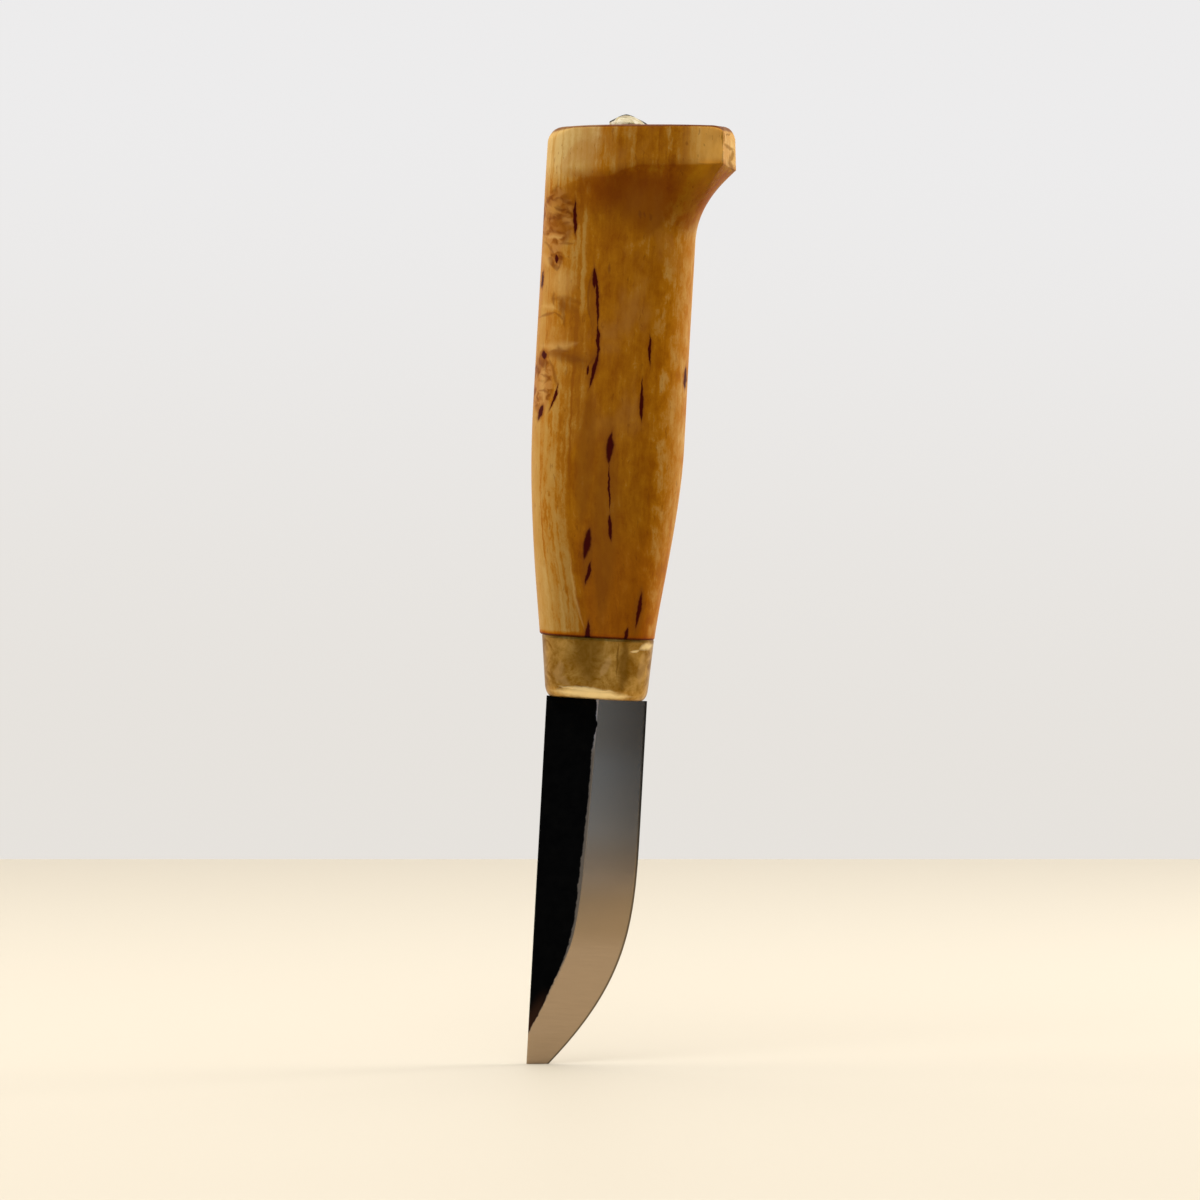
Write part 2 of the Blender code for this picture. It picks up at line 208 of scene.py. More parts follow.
# Camera: the photograph is 1200 pixels square, and the knife's point meets the floor at ORIGIN_PIXEL
PHOTO_PIXELS = 1200
ORIGIN_PIXEL = (526.4, 1063.8)
FOCAL_PIXELS = 8137.0
CAMERA_DISTANCE = 1.6
CAMERA_PITCH = math.radians(1.41)
KNIFE_LEAN = math.radians(3.15)
SENSOR_WIDTH = 36.0


def ease(value, length, lead):
    """Rise from 0 to 1 over length, levelling out smoothly at the top."""
    share = min(max(value / length, 0.0), 1.0)
    return math.sin(math.pi / 2 * share ** lead)


def smooth_step(share):
    """Rise from 0 to 1, level at both ends."""
    share = min(max(share, 0.0), 1.0)
    return share * share * (3 - 2 * share)


def mix(low, high, share):
    """Value that lies share of the way from low to high."""
    return low + (high - low) * share


def sweep(start, leave, arrive, end):
    """Reach as a function of height, on a cubic curve from start to end that leave and arrive pull."""
    t = np.linspace(0.0, 1.0, CURVE_SAMPLES)[:, None]
    corners = [np.array(point) for point in (start, leave, arrive, end)]
    weights = ((1 - t) ** 3, 3 * (1 - t) ** 2 * t, 3 * (1 - t) * t ** 2, t ** 3)
    curve = sum(weight * corner for weight, corner in zip(weights, corners))
    order = np.argsort(curve[:, 0])
    return lambda height: float(np.interp(height, curve[order, 0], curve[order, 1]))


edge_at = sweep(
    (TIP_Z + BELLY_LENGTH, BLADE_WIDTH),
    (TIP_Z + BELLY_LENGTH - BELLY_REACH, BLADE_WIDTH),
    (TIP_Z + TIP_RISE, BLADE_WIDTH),
    (TIP_Z, 0.0))
grind_at = sweep(
    (SHOULDER_Z, BLADE_WIDTH - BEVEL_WIDTH),
    (TIP_Z + GRIND_TURN, BLADE_WIDTH - BEVEL_WIDTH - GRIND_TAPER),
    (TIP_Z + GRIND_RUNOUT + GRIND_SWEEP, BLADE_WIDTH - BEVEL_WIDTH - GRIND_TAPER),
    (TIP_Z + GRIND_RUNOUT, 0.0))


def oval(low, high, half, power, count, high_power=None):
    """Superellipse from low to high along X, half thick to each side; high_power shapes its high end."""
    centre = (low + high) / 2
    reach = (high - low) / 2
    points = []
    for step in range(count):
        turn = 2 * math.pi * step / count
        along = math.cos(turn)
        across = math.sin(turn)
        bend = 2 / (high_power if high_power and along > 0 else power)
        x = centre + reach * math.copysign(abs(along) ** bend, along)
        y = half * math.copysign(abs(across) ** bend, across)
        points.append((x, y))
    return points


def level(points, z):
    """Ring of points, all at height z."""
    return [(x, y, z) for x, y in points]


def tilted(points, z, share=1.0):
    """Ring of points that lean with the pommel by share of its tilt."""
    return [(x, y, z + share * math.tan(POMMEL_TILT) * (x - TANG_AXIS)) for x, y in points]


def between(ring, other, share):
    """Ring that lies share of the way from one ring to another."""
    return [tuple(mix(a, b, share) for a, b in zip(p, q)) for p, q in zip(ring, other)]


def skin(name, rings, closed):
    """Mesh grown ring by ring by extrusion: closed joins last to first, otherwise both ends are filled."""
    bm = bmesh.new()
    place = bm.verts.layers.int.new("place")
    verts = [bm.verts.new(point) for point in rings[0]]
    for index, vert in enumerate(verts):
        vert[place] = index
    edges = [bm.edges.new((verts[i - 1], verts[i])) for i in range(len(verts))]
    for ring in rings[1:] + (rings[:1] if closed else []):
        grown = bmesh.ops.extrude_edge_only(bm, edges=edges)["geom"]
        edges = [item for item in grown if isinstance(item, bmesh.types.BMEdge)]
        for vert in (item for item in grown if isinstance(item, bmesh.types.BMVert)):
            vert.co = ring[vert[place]]
    bmesh.ops.remove_doubles(bm, verts=bm.verts[:], dist=MERGE_DISTANCE)
    bmesh.ops.holes_fill(bm, edges=[edge for edge in bm.edges if edge.is_boundary])
    bmesh.ops.recalc_face_normals(bm, faces=bm.faces[:])
    bm.verts.layers.int.remove(bm.verts.layers.int["place"])
    mesh = bpy.data.meshes.new(name)
    bm.to_mesh(mesh)
    bm.free()
    return mesh


def shade(mesh, crease):
    """Shade smooth, with a hard edge wherever two faces meet at more than crease."""
    mesh.shade_smooth()
    mesh.set_sharp_from_angle(angle=crease)


def piece(name, mesh, node, finish):
    """Object that stands for a node of the frame and moves with it."""
    made = bpy.data.objects.new(name, mesh)
    bpy.context.scene.collection.objects.link(made)
    mesh.materials.clear()
    mesh.materials.append(finish)
    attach(made, BODY)
    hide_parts(node)
    return made


def tang_oval(z, growth, count):
    """Section of the tang at height z, grown on every side."""
    share = (z - SHOULDER_Z) / (PEEN_Z - SHOULDER_Z)
    half = mix(TANG_WIDTH, TANG_END_WIDTH, share) / 2 + growth
    return oval(TANG_AXIS - half, TANG_AXIS + half, TANG_THICKNESS / 2 + growth, TANG_POWER, count)


def bore_oval():
    """Straight bore that takes the tang and the resin round it."""
    grown = BEDDING_WALL + 2 * CLEARANCE
    half = TANG_WIDTH / 2 + grown
    return oval(TANG_AXIS - half, TANG_AXIS + half, TANG_THICKNESS / 2 + grown, TANG_POWER, OVAL_POINTS)


def ferrule_oval(z, inset):
    """Outer section of the ferrule at height z, drawn in by inset."""
    short = 1 - (z - FERRULE_LOW.z) / FERRULE_LENGTH
    low = FERRULE_LOW.x + FERRULE_SPINE_FLARE * short
    high = FERRULE_HIGH.x + FERRULE_EDGE_PROUD - FERRULE_EDGE_FLARE * short
    half = FERRULE_HIGH.y - FERRULE_FACE_FLARE * short
    return oval(low + inset, high - inset, half - inset, FERRULE_POWER, OVAL_POINTS)


def handle_span(z):
    """Lowest and highest X of the wood at height z, and how far its cove has flared, from 0 to 1."""
    above = z - JOINT_Z
    flare = min(max((z - COVE_Z) / COVE_LENGTH, 0.0), 1.0) ** COVE_POWER
    low = FERRULE_LOW.x - WOOD_STEP - GRIP_SPINE_SWELL * ease(above, SPINE_TAPER_LENGTH, SPINE_TAPER_LEAD)
    high = FERRULE_HIGH.x + WOOD_STEP + BEAK_REACH * flare
    high += GRIP_EDGE_SWELL * ease(above, EDGE_TAPER_LENGTH, EDGE_TAPER_LEAD)
    high -= BEAK_LEAN * min(max((z - RIDGE_Z) / (POMMEL_Z - RIDGE_Z), 0.0), 1.0)
    return low, high, flare


def handle_oval(z, end_inset, face_inset):
    """Outer section of the wood at height z, drawn in at its ends and on its faces."""
    low, high, flare = handle_span(z)
    swell = ease(z - JOINT_Z, SPINE_TAPER_LENGTH, SPINE_TAPER_LEAD)
    taper_z = JOINT_Z + SPINE_TAPER_LENGTH
    half = FERRULE_HIGH.y + WOOD_STEP + GRIP_FACE_SWELL * swell
    half -= NECK_WAIST * smooth_step((z - taper_z) / (COVE_Z - taper_z))
    grip_power = mix(FERRULE_POWER, GRIP_POWER, swell)
    powers = mix(grip_power, POMMEL_POWER, flare), mix(grip_power, BEAK_POWER, flare)
    flared = []
    plain = oval(low + end_inset, high - end_inset, half - face_inset, powers[0], OVAL_POINTS, powers[1])
    for x, y in plain:
        fade = smooth_step((x - low) / (high - low) / FLARE_FULL)
        y *= 1 + POMMEL_FACE_FLARE * flare * fade / half
        facet = high - end_inset - BEAK_FACET_SLOPE * (abs(y) - BEAK_FACET_START)
        flared.append((mix(x, min(x, facet), flare), y))
    return flared


def ridge_drop(x):
    """Depth of the ridge at x below its straight run to the beak."""
    step = RIDGE_STEP * smooth_step((RIDGE_STEP_PLACE - x) / RIDGE_STEP_RUN)
    return step + RIDGE_FADE * smooth_step((RIDGE_FADE_PLACE - x) / RIDGE_FADE_RUN)


def grip_ring(z, inset=0.0):
    """Section of the wood at height z; the cove leans with the pommel and drops at the spine and beak."""
    share = smooth_step((z - COVE_Z) / COVE_LENGTH)
    _, high, _ = handle_span(z)
    ring = []
    for x, y, tilted_z in tilted(handle_oval(z, inset, inset), z, share):
        beak = BEAK_DROP * smooth_step(1 - (high - x) / BEAK_DROP_RUN)
        ring.append((x, y, tilted_z - share * (ridge_drop(x) + beak)))
    return ring


def pommel_ring(turn):
    """Ring of the pommel's rounded top edge at angle turn, wide at both ends and tight along the faces."""
    low, high, _ = handle_span(POMMEL_Z)
    inward = 1 - math.cos(turn)
    below = 1 - math.sin(turn)
    ring = []
    for x, y, z in tilted(handle_oval(POMMEL_Z, POMMEL_CORNER * inward, POMMEL_EDGE * inward), POMMEL_Z):
        outward = abs(2 * (x - low) / (high - low) - 1)
        corner = smooth_step((outward - 1 + CORNER_START) / CORNER_START)
        ring.append((x, y, z - mix(POMMEL_EDGE, POMMEL_CORNER, corner) * below))
    return ring


def hand_finished(ring):
    """Ring with the faint unevenness of a scraped and sanded surface."""
    middle = sum((Vector(point) for point in ring), Vector()) / len(ring)
    finished = []
    for point in ring:
        spot = Vector(point)
        outward = (spot - middle).normalized()
        finished.append(tuple(spot + outward * HAND_FINISH * noise.noise(spot / HAND_FINISH_SPAN)))
    return finished


def crown_rings(rim):
    """Rings of the pommel's crowned top, from its rim to the flat land under the rivet plate."""
    half_land = PLATE_LAND / 2
    flat = oval(TANG_AXIS - half_land, TANG_AXIS + half_land, half_land, LAND_POWER, OVAL_POINTS)
    land = tilted(flat, LAND_Z)
    rings = []
    for step in range(1, CROWN_STATIONS + 1):
        share = step / CROWN_STATIONS
        lift = POMMEL_CROWN * (share - share * share)
        rings.append([(x, y, z + lift) for x, y, z in between(rim, land, share)])
    return rings


def handle_rings():
    """Rings from the spigot over the wood's outside to the pommel, and back down the bore."""
    fit = FERRULE_WALL + CLEARANCE
    rings = [level(bore_oval(), SPIGOT_Z), level(ferrule_oval(SPIGOT_Z, fit), SPIGOT_Z)]
    rings.append(level(ferrule_oval(FERRULE_HIGH.z, fit), JOINT_Z))
    rings.append(grip_ring(JOINT_Z, WOOD_ARRIS))
    heights = [mix(JOINT_Z + WOOD_ARRIS, COVE_Z, step / GRIP_STATIONS) for step in range(GRIP_STATIONS)]
    heights += [mix(COVE_Z, RIDGE_Z, step / COVE_STATIONS) for step in range(COVE_STATIONS + 1)]
    outside = [grip_ring(z) for z in heights]
    ridge, corner = outside[-1], pommel_ring(0.0)
    outside += [between(ridge, corner, step / BAND_STATIONS) for step in range(1, BAND_STATIONS)]
    outside += [pommel_ring(math.pi / 2 * step / CORNER_STATIONS) for step in range(CORNER_STATIONS + 1)]
    rings += [hand_finished(ring) for ring in outside]
    rings += crown_rings(rings[-1])
    rings.append(tilted(tang_oval(LAND_Z, CLEARANCE, OVAL_POINTS), LAND_Z))
    rings += [level(tang_oval(WEB_Z, CLEARANCE, OVAL_POINTS), WEB_Z), level(bore_oval(), WEB_Z)]
    return rings


def blade_ring(z):
    """Section of the blade at height z: spine, flats, ground bevels and the fine bevel of the edge."""
    runout = min(1.0, (z - TIP_Z) / GRIND_RUNOUT)
    half = BLADE_THICKNESS / 2 * runout
    chamfer = SPINE_CHAMFER * runout
    grind = max(grind_at(z), 2 * chamfer)
    edge = edge_at(z)
    fine = edge - EDGE_BEVEL * runout
    fine_half = EDGE_BEVEL_HALF * runout
    side = [(0.0, half - chamfer)]
    side += [(mix(chamfer, grind, step / FLAT_STEPS), half) for step in range(FLAT_STEPS)]
    for step in range(BEVEL_STEPS + 1):
        share = step / BEVEL_STEPS
        bulge = BEVEL_CROWN * runout * 4 * share * (1 - share)
        side.append((mix(grind, fine, share), mix(half, fine_half, share) + bulge))
    outline = side + [(edge, 0.0)] + [(x, -y) for x, y in reversed(side)]
    return level(outline, z)


def hammered(ring, depth):
    """Ring with the small dents that a hammer leaves."""
    return [(x, y, z + depth * noise.noise(Vector((x, y, z)) / DENT_SPAN)) for x, y, z in ring]


def tang_rings():
    """Sections of the tang from inside the shoulder to the hammered dome on the rivet plate."""
    rings = [level(tang_oval(z, 0.0, TANG_POINTS), z) for z in (SHOULDER_Z - TANG_ROOT, WEB_Z)]
    rings.append(tilted(tang_oval(PEEN_Z, 0.0, TANG_POINTS), PEEN_Z))
    for step in range(CORNER_STATIONS + 1):
        share = step / CORNER_STATIONS
        radius = PEEN_DIAMETER / 2 * (1 - share)
        dome = oval(TANG_AXIS - radius, TANG_AXIS + radius, radius, PEEN_POWER, TANG_POINTS)
        rise = PEEN_HEIGHT * (1 - (1 - share) ** PEEN_ROUNDING)
        rings.append(hammered(tilted(dome, PEEN_Z + rise), DENT_DEPTH * share))
    return rings


def weld(mesh, other):
    """One closed mesh from two that overlap."""
    base = bpy.data.objects.new("weld_base", mesh)
    tool = bpy.data.objects.new("weld_tool", other)
    for item in (base, tool):
        bpy.context.scene.collection.objects.link(item)
    join = base.modifiers.new("join", "BOOLEAN")
    join.operation = "UNION"
    join.solver = "EXACT"
    join.object = tool
    graph = bpy.context.evaluated_depsgraph_get()
    joined = bpy.data.meshes.new_from_object(base.evaluated_get(graph))
    for item in (base, tool):
        bpy.data.objects.remove(item)
    return joined


def mark_grind(mesh):
    """UV map in millimetres: U past the grind line towards the edge, V in from the edge."""
    layer = mesh.uv_layers.new(name="grind")
    for loop in mesh.loops:
        x, _, z = mesh.vertices[loop.vertex_index].co
        past = (x - grind_at(z)) / MM
        inside = (edge_at(z) - x) / MM
        layer.data[loop.index].uv = (past, inside) if z < WEB_Z else (PEEN_MARK, PEEN_MARK)


def make_blade(finish):
    """Blade, tang and peened end in one piece of steel."""
    shares = [(step / BLADE_STATIONS) ** TIP_CROWDING for step in range(BLADE_STATIONS + 1)]
    heights = [mix(TIP_Z, SHOULDER_Z, share) for share in shares]
    blade = skin("blade_steel", [blade_ring(z) for z in heights], closed=False)
    tang = skin("tang_steel", tang_rings(), closed=False)
    mesh = weld(blade, tang)
    mark_grind(mesh)
    shade(mesh, BLADE_CREASE)
    piece("blade_steel", mesh, "blade", finish)


def make_ferrule(finish):
    """Brass cup with a rolled lip, a flared wall and a thin rim against the wood."""
    floor_z = FERRULE_LOW.z + FERRULE_FLOOR
    rings = [level(tang_oval(z, CLEARANCE, OVAL_POINTS), z) for z in (floor_z, FERRULE_LOW.z)]
    for step in range(CORNER_STATIONS + 1):
        turn = math.pi / 2 * step / CORNER_STATIONS
        z = FERRULE_LOW.z + FERRULE_LIP_HEIGHT * (1 - math.cos(turn))
        rings.append(level(ferrule_oval(z, FERRULE_LIP_INSET * (1 - math.sin(turn))), z))
    wall_z = FERRULE_LOW.z + FERRULE_LIP_HEIGHT
    rim_z = FERRULE_HIGH.z - FERRULE_RIM
    for step in range(1, FERRULE_STATIONS + 1):
        z = mix(wall_z, rim_z, step / FERRULE_STATIONS)
        rings.append(level(ferrule_oval(z, 0.0), z))
    rings.append(level(ferrule_oval(FERRULE_HIGH.z, FERRULE_RIM / 2), FERRULE_HIGH.z))
    rings.append(level(ferrule_oval(FERRULE_HIGH.z, FERRULE_WALL), FERRULE_HIGH.z))
    rings.append(level(ferrule_oval(floor_z, FERRULE_WALL), floor_z))
    mesh = skin("ferrule_brass", rings, closed=True)
    shade(mesh, BODY_CREASE)
    piece("ferrule_brass", mesh, "ferrule", finish)


def slope_share(part, slopes):
    """Share of a zone, from 0 to 1, as a part of the normal goes from one slope to the other."""
    return smooth_step((part - slopes[0]) / (slopes[1] - slopes[0]))


def mark_surface(mesh):
    """Attributes of the wood's surface, from its normal.

    end_grain says how far it cuts across the grain: to 1 on the pommel's top, and to -1 in the cove.
    under_beak goes to 1 on the underside of the beak.
    """
    end_grain = mesh.attributes.new("end_grain", "FLOAT", "POINT").data
    under_beak = mesh.attributes.new("under_beak", "FLOAT", "POINT").data
    for vertex in mesh.vertices:
        out, _, up = vertex.normal
        cut = slope_share(up, TOP_SLOPES) - slope_share(-up, COVE_SLOPES)
        end_grain[vertex.index].value = cut
        under = slope_share(out, BEAK_SLOPES) * slope_share(-up, UNDERSIDE_SLOPES)
        under_beak[vertex.index].value = under


def make_handle(finish):
    """Birch handle with its spigot, grip, cove and beaked pommel."""
    mesh = skin("handle_birch", handle_rings(), closed=True)
    mark_surface(mesh)
    shade(mesh, BODY_CREASE)
    piece("handle_birch", mesh, "handle", finish)


def plate_oval(inset):
    """Rhombic outline of the rivet plate, drawn in by inset."""
    low, high = PLATE_LOW.x + PLATE_SHIFT + inset, PLATE_HIGH.x + PLATE_SHIFT - inset
    return oval(low, high, PLATE_HIGH.y - inset, PLATE_POWER, OVAL_POINTS)


def plate_rim(inset, z):
    """Ring of the plate's rim, filed higher on the spine's side than on the edge's."""
    flat = tilted(plate_oval(inset), z)
    return [(x, y, top - PLATE_RIM_SLOPE * (x - TANG_AXIS)) for x, y, top in flat]


def make_plate(finish):
    """Brass plate, hammered down from the hole for the tang to a low filed rim."""
    rim_z = PLATE_Z + PLATE_RIM
    hole = tang_oval(PLATE_Z + PLATE_CROWN, CLEARANCE, OVAL_POINTS)
    rings = [
        tilted(tang_oval(PLATE_Z, CLEARANCE, OVAL_POINTS), PLATE_Z),
        tilted(plate_oval(PLATE_ARRIS), PLATE_Z),
        tilted(plate_oval(0.0), PLATE_Z + PLATE_ARRIS),
        plate_rim(0.0, rim_z - PLATE_ARRIS),
    ]
    edge, top = plate_rim(PLATE_ARRIS, rim_z), tilted(hole, PLATE_Z + PLATE_CROWN)
    for step in range(CORNER_STATIONS + 1):
        share = step / CORNER_STATIONS
        bulge = PLATE_BULGE * 4 * share * (1 - share)
        dome = [(x, y, z + bulge) for x, y, z in between(edge, top, share)]
        rings.append(hammered(dome, DENT_DEPTH))
    mesh = skin("rivet_plate_brass", rings, closed=True)
    shade(mesh, PLATE_CREASE)
    piece("rivet_plate_brass", mesh, "rivet_plate", finish)


def rgba(red, green, blue):
    """Opaque colour for a shader's socket."""
    return (red, green, blue, 1.0)


class Wiring:
    """A node tree whose nodes are added and wired in short calls."""

    def __init__(self, tree):
        self.tree = tree

    def put(self, socket, value):
        """Set an input to a constant, or wire it to another node's output."""
        if isinstance(value, bpy.types.NodeSocket):
            self.tree.links.new(value, socket)
        else:
            socket.default_value = value

    def node(self, kind, *values, **settings):
        """New node with its settings made and its first inputs filled."""
        made = self.tree.nodes.new(kind)
        for name, setting in settings.items():
            setattr(made, name, setting)
        for socket, value in zip(made.inputs, values):
            self.put(socket, value)
        return made

    def math(self, operation, *values):
        return self.node("ShaderNodeMath", *values, operation=operation).outputs[0]

    def times(self, *factors):
        """Product of all factors."""
        product = factors[0]
        for factor in factors[1:]:
            product = self.math("MULTIPLY", product, factor)
        return product

    def plus(self, base, layer, amount=1.0):
        """Base with a layer added, times amount."""
        return self.math("MULTIPLY_ADD", layer, amount, base)

    def most(self, *values):
        """Largest of all values."""
        largest = values[0]
        for value in values[1:]:
            largest = self.math("MAXIMUM", largest, value)
        return largest

    def rise(self, value, low, high, start=0.0, end=1.0):
        """Smooth step of a value between low and high, from start to end."""
        values = (value, low, high, start, end)
        return self.node("ShaderNodeMapRange", *values, interpolation_type="SMOOTHSTEP").outputs[0]

    def near(self, value, centre, outside, inside, start=0.0, end=1.0):
        """Smooth step of how far a value lies from a centre."""
        gap = self.math("ABSOLUTE", self.math("SUBTRACT", value, centre))
        return self.rise(gap, outside, inside, start, end)

    def split(self, vector):
        return self.node("ShaderNodeSeparateXYZ", vector).outputs

    def join(self, x, y, z):
        return self.node("ShaderNodeCombineXYZ", x, y, z).outputs[0]

    def ramp(self, factor, stops):
        """Colour that runs through (position, colour) stops."""
        node = self.node("ShaderNodeValToRGB", factor)
        band = node.color_ramp.elements
        while len(band) < len(stops):
            band.new(0.5)
        for element, (position, colour) in zip(band, stops):
            element.position = position
            element.color = rgba(*colour)
        return node.outputs[0]


def stroke_group():
    """Node group for one drawn stroke: above 0 inside it, 1 at its heart, pointed at both ends."""
    group = bpy.data.node_groups.new("grain_stroke", "ShaderNodeTree")
    for name in ("Place", "Centre", "Along", "Across"):
        group.interface.new_socket(name, in_out="INPUT", socket_type="NodeSocketVector")
    group.interface.new_socket("Bow", in_out="INPUT", socket_type="NodeSocketFloat")
    group.interface.new_socket("Depth", in_out="OUTPUT", socket_type="NodeSocketFloat")
    wiring = Wiring(group)
    given = wiring.node("NodeGroupInput").outputs
    result = wiring.node("NodeGroupOutput").inputs
    ends = (given["Place"], given["Centre"])
    offset = wiring.node("ShaderNodeVectorMath", *ends, operation="SUBTRACT").outputs["Vector"]
    along, across = (
        wiring.node("ShaderNodeVectorMath", offset, given[way], operation="DOT_PRODUCT").outputs["Value"]
        for way in ("Along", "Across"))
    taper = wiring.math("SUBTRACT", 1.0, wiring.times(along, along))
    bent = wiring.math("ABSOLUTE", wiring.plus(across, taper, given["Bow"]))
    wiring.put(result["Depth"], wiring.math("SUBTRACT", taper, bent))
    return group


STROKE = stroke_group()


class Finish(Wiring):
    """A material on the standard shader, with patterns in millimetres."""

    def __init__(self, name):
        self.material = bpy.data.materials.new(name)
        self.material.use_nodes = True
        super().__init__(self.material.node_tree)
        self.shader = self.tree.nodes["Principled BSDF"]

    def set(self, **inputs):
        """Set the shader's own inputs, named with underscores for spaces."""
        for name, value in inputs.items():
            self.put(self.shader.inputs[name.replace("_", " ")], value)

    def blend(self, factor, first, second, kind="MIX"):
        """Mix of two colours, whose sockets come after those for numbers and vectors."""
        node = self.node("ShaderNodeMix", factor, data_type="RGBA", blend_type=kind)
        self.put(node.inputs[6], first)
        self.put(node.inputs[7], second)
        return node.outputs[2]

    def object_mm(self):
        """Object coordinates in millimetres."""
        coordinates = self.node("ShaderNodeTexCoord")
        scaled = self.node("ShaderNodeVectorMath", coordinates.outputs["Object"], operation="SCALE")
        scaled.inputs["Scale"].default_value = 1 / MM
        return scaled.outputs[0]

    def stretch(self, vector, scale, shift=(0.0, 0.0, 0.0)):
        """Coordinates scaled along each axis, for a pattern that runs one way."""
        node = self.node("ShaderNodeMapping", vector)
        node.inputs["Scale"].default_value = scale
        node.inputs["Location"].default_value = shift
        return node.outputs[0]

    def noise(self, vector, scale, detail=2.0, roughness=0.5, distortion=0.0, colour=False):
        node = self.node("ShaderNodeTexNoise", vector)
        settings = {"Scale": scale, "Detail": detail, "Roughness": roughness, "Distortion": distortion}
        for name, value in settings.items():
            node.inputs[name].default_value = value
        return node.outputs["Color" if colour else "Fac"]

    def wander(self, vector, scale, amount):
        """Coordinates that stray by up to half of amount, so that drawn strokes look grown or worn."""
        stray = self.noise(vector, scale, 3.0, colour=True)
        centred = self.stretch(vector, (1.0, 1.0, 1.0), (-amount / 2, -amount / 2, -amount / 2))
        values = (stray, (amount, amount, amount), centred)
        return self.node("ShaderNodeVectorMath", *values, operation="MULTIPLY_ADD").outputs[0]

    def attribute(self, name):
        """Value that the mesh carries at its points."""
        return self.node("ShaderNodeAttribute", attribute_name=name).outputs["Fac"]

    def strokes(self, place, strokes):
        """Largest depth over a list of strokes."""
        depths = []
        for x, z, end_x, end_z, width, bow in strokes:
            start, end = Vector((x, 0.0, z)), Vector((end_x, 0.0, end_z))
            half = (end - start) / 2
            across = Vector((-half.z, 0.0, half.x)).normalized() * (2 / width)
            node = self.node("ShaderNodeGroup", node_tree=STROKE)
            self.put(node.inputs["Place"], place)
            node.inputs["Centre"].default_value = (start + end) / 2
            node.inputs["Along"].default_value = half / half.length_squared
            node.inputs["Across"].default_value = across
            node.inputs["Bow"].default_value = -bow * 2 / width
            depths.append(node.outputs[0])
        return self.most(*depths)

    def bump(self, height, strength, distance):
        """Fine relief on the shader's normal."""
        node = self.node("ShaderNodeBump")
        self.put(node.inputs["Height"], height)
        node.inputs["Strength"].default_value = strength
        node.inputs["Distance"].default_value = distance
        self.put(self.shader.inputs["Normal"], node.outputs[0])


# Strokes drawn on the pieces, in millimetres: X and Z of one end, X and Z of the other, width, and bow to
# the right as seen from the first end. On the wood, hearts are dark maroon, folds and beak curls brown,
# ridges pale, stains soft and broad, and swirls are patches of curled grain; some ridges are painted
# highlight, and some folds and stains are painted shade beneath them. On the ferrule, shadows are painted
# shade and dark reflection, and rubs and glints are painted highlights. The chip is a spot of black skin
# left at the top of the grind.
FORGE_CHIP = (9.9, 68.6, 10.0, 66.8, 0.85, 0.0)
FRONT_HEARTS = (
    (4.75, 157.7, 6.15, 144.6, 0.66, 0.22),
    (4.8, 157.2, 4.95, 152.6, 1.0, 0.0),
    (6.05, 146.5, 6.45, 139.0, 0.85, 0.05),
    (6.5, 141.2, 4.9, 133.0, 0.95, 0.15),
    (4.72, 138.0, 4.52, 135.8, 0.55, 0.0),
    (16.3, 144.9, 16.65, 138.1, 0.7, 0.0),
    (15.4, 134.4, 15.62, 127.2, 1.1, 0.0),
    (15.35, 136.2, 15.45, 131.0, 0.45, 0.0),
    (23.75, 138.8, 23.7, 134.0, 0.7, 0.0),
    (9.95, 125.6, 9.6, 118.4, 1.6, -0.05),
    (9.65, 119.6, 10.4, 109.0, 0.4, 0.0),
    (10.4, 109.5, 11.05, 103.5, 0.95, -0.1),
    (6.75, 106.7, 5.9, 99.8, 1.85, 0.05),
    (7.3, 100.0, 6.35, 95.0, 0.9, 0.05),
    (7.45, 88.5, 7.2, 81.5, 1.3, 0.0),
    (17.45, 94.7, 16.65, 86.7, 1.05, 0.12),
    (15.25, 87.4, 14.6, 83.9, 0.9, 0.0),
    (0.35, 170.4, 0.8, 162.6, 0.95, -0.12),
    (-2.95, 159.3, -2.5, 157.5, 1.0, 0.0),
    (-4.2, 140.5, -4.0, 138.5, 1.3, 0.0),
    (-1.05, 134.2, -2.6, 128.6, 0.55, 0.25),
    (-3.8, 130.0, -4.6, 126.5, 0.95, 0.0),
    (-5.2, 156.2, -5.3, 152.4, 0.55, 0.0),
)
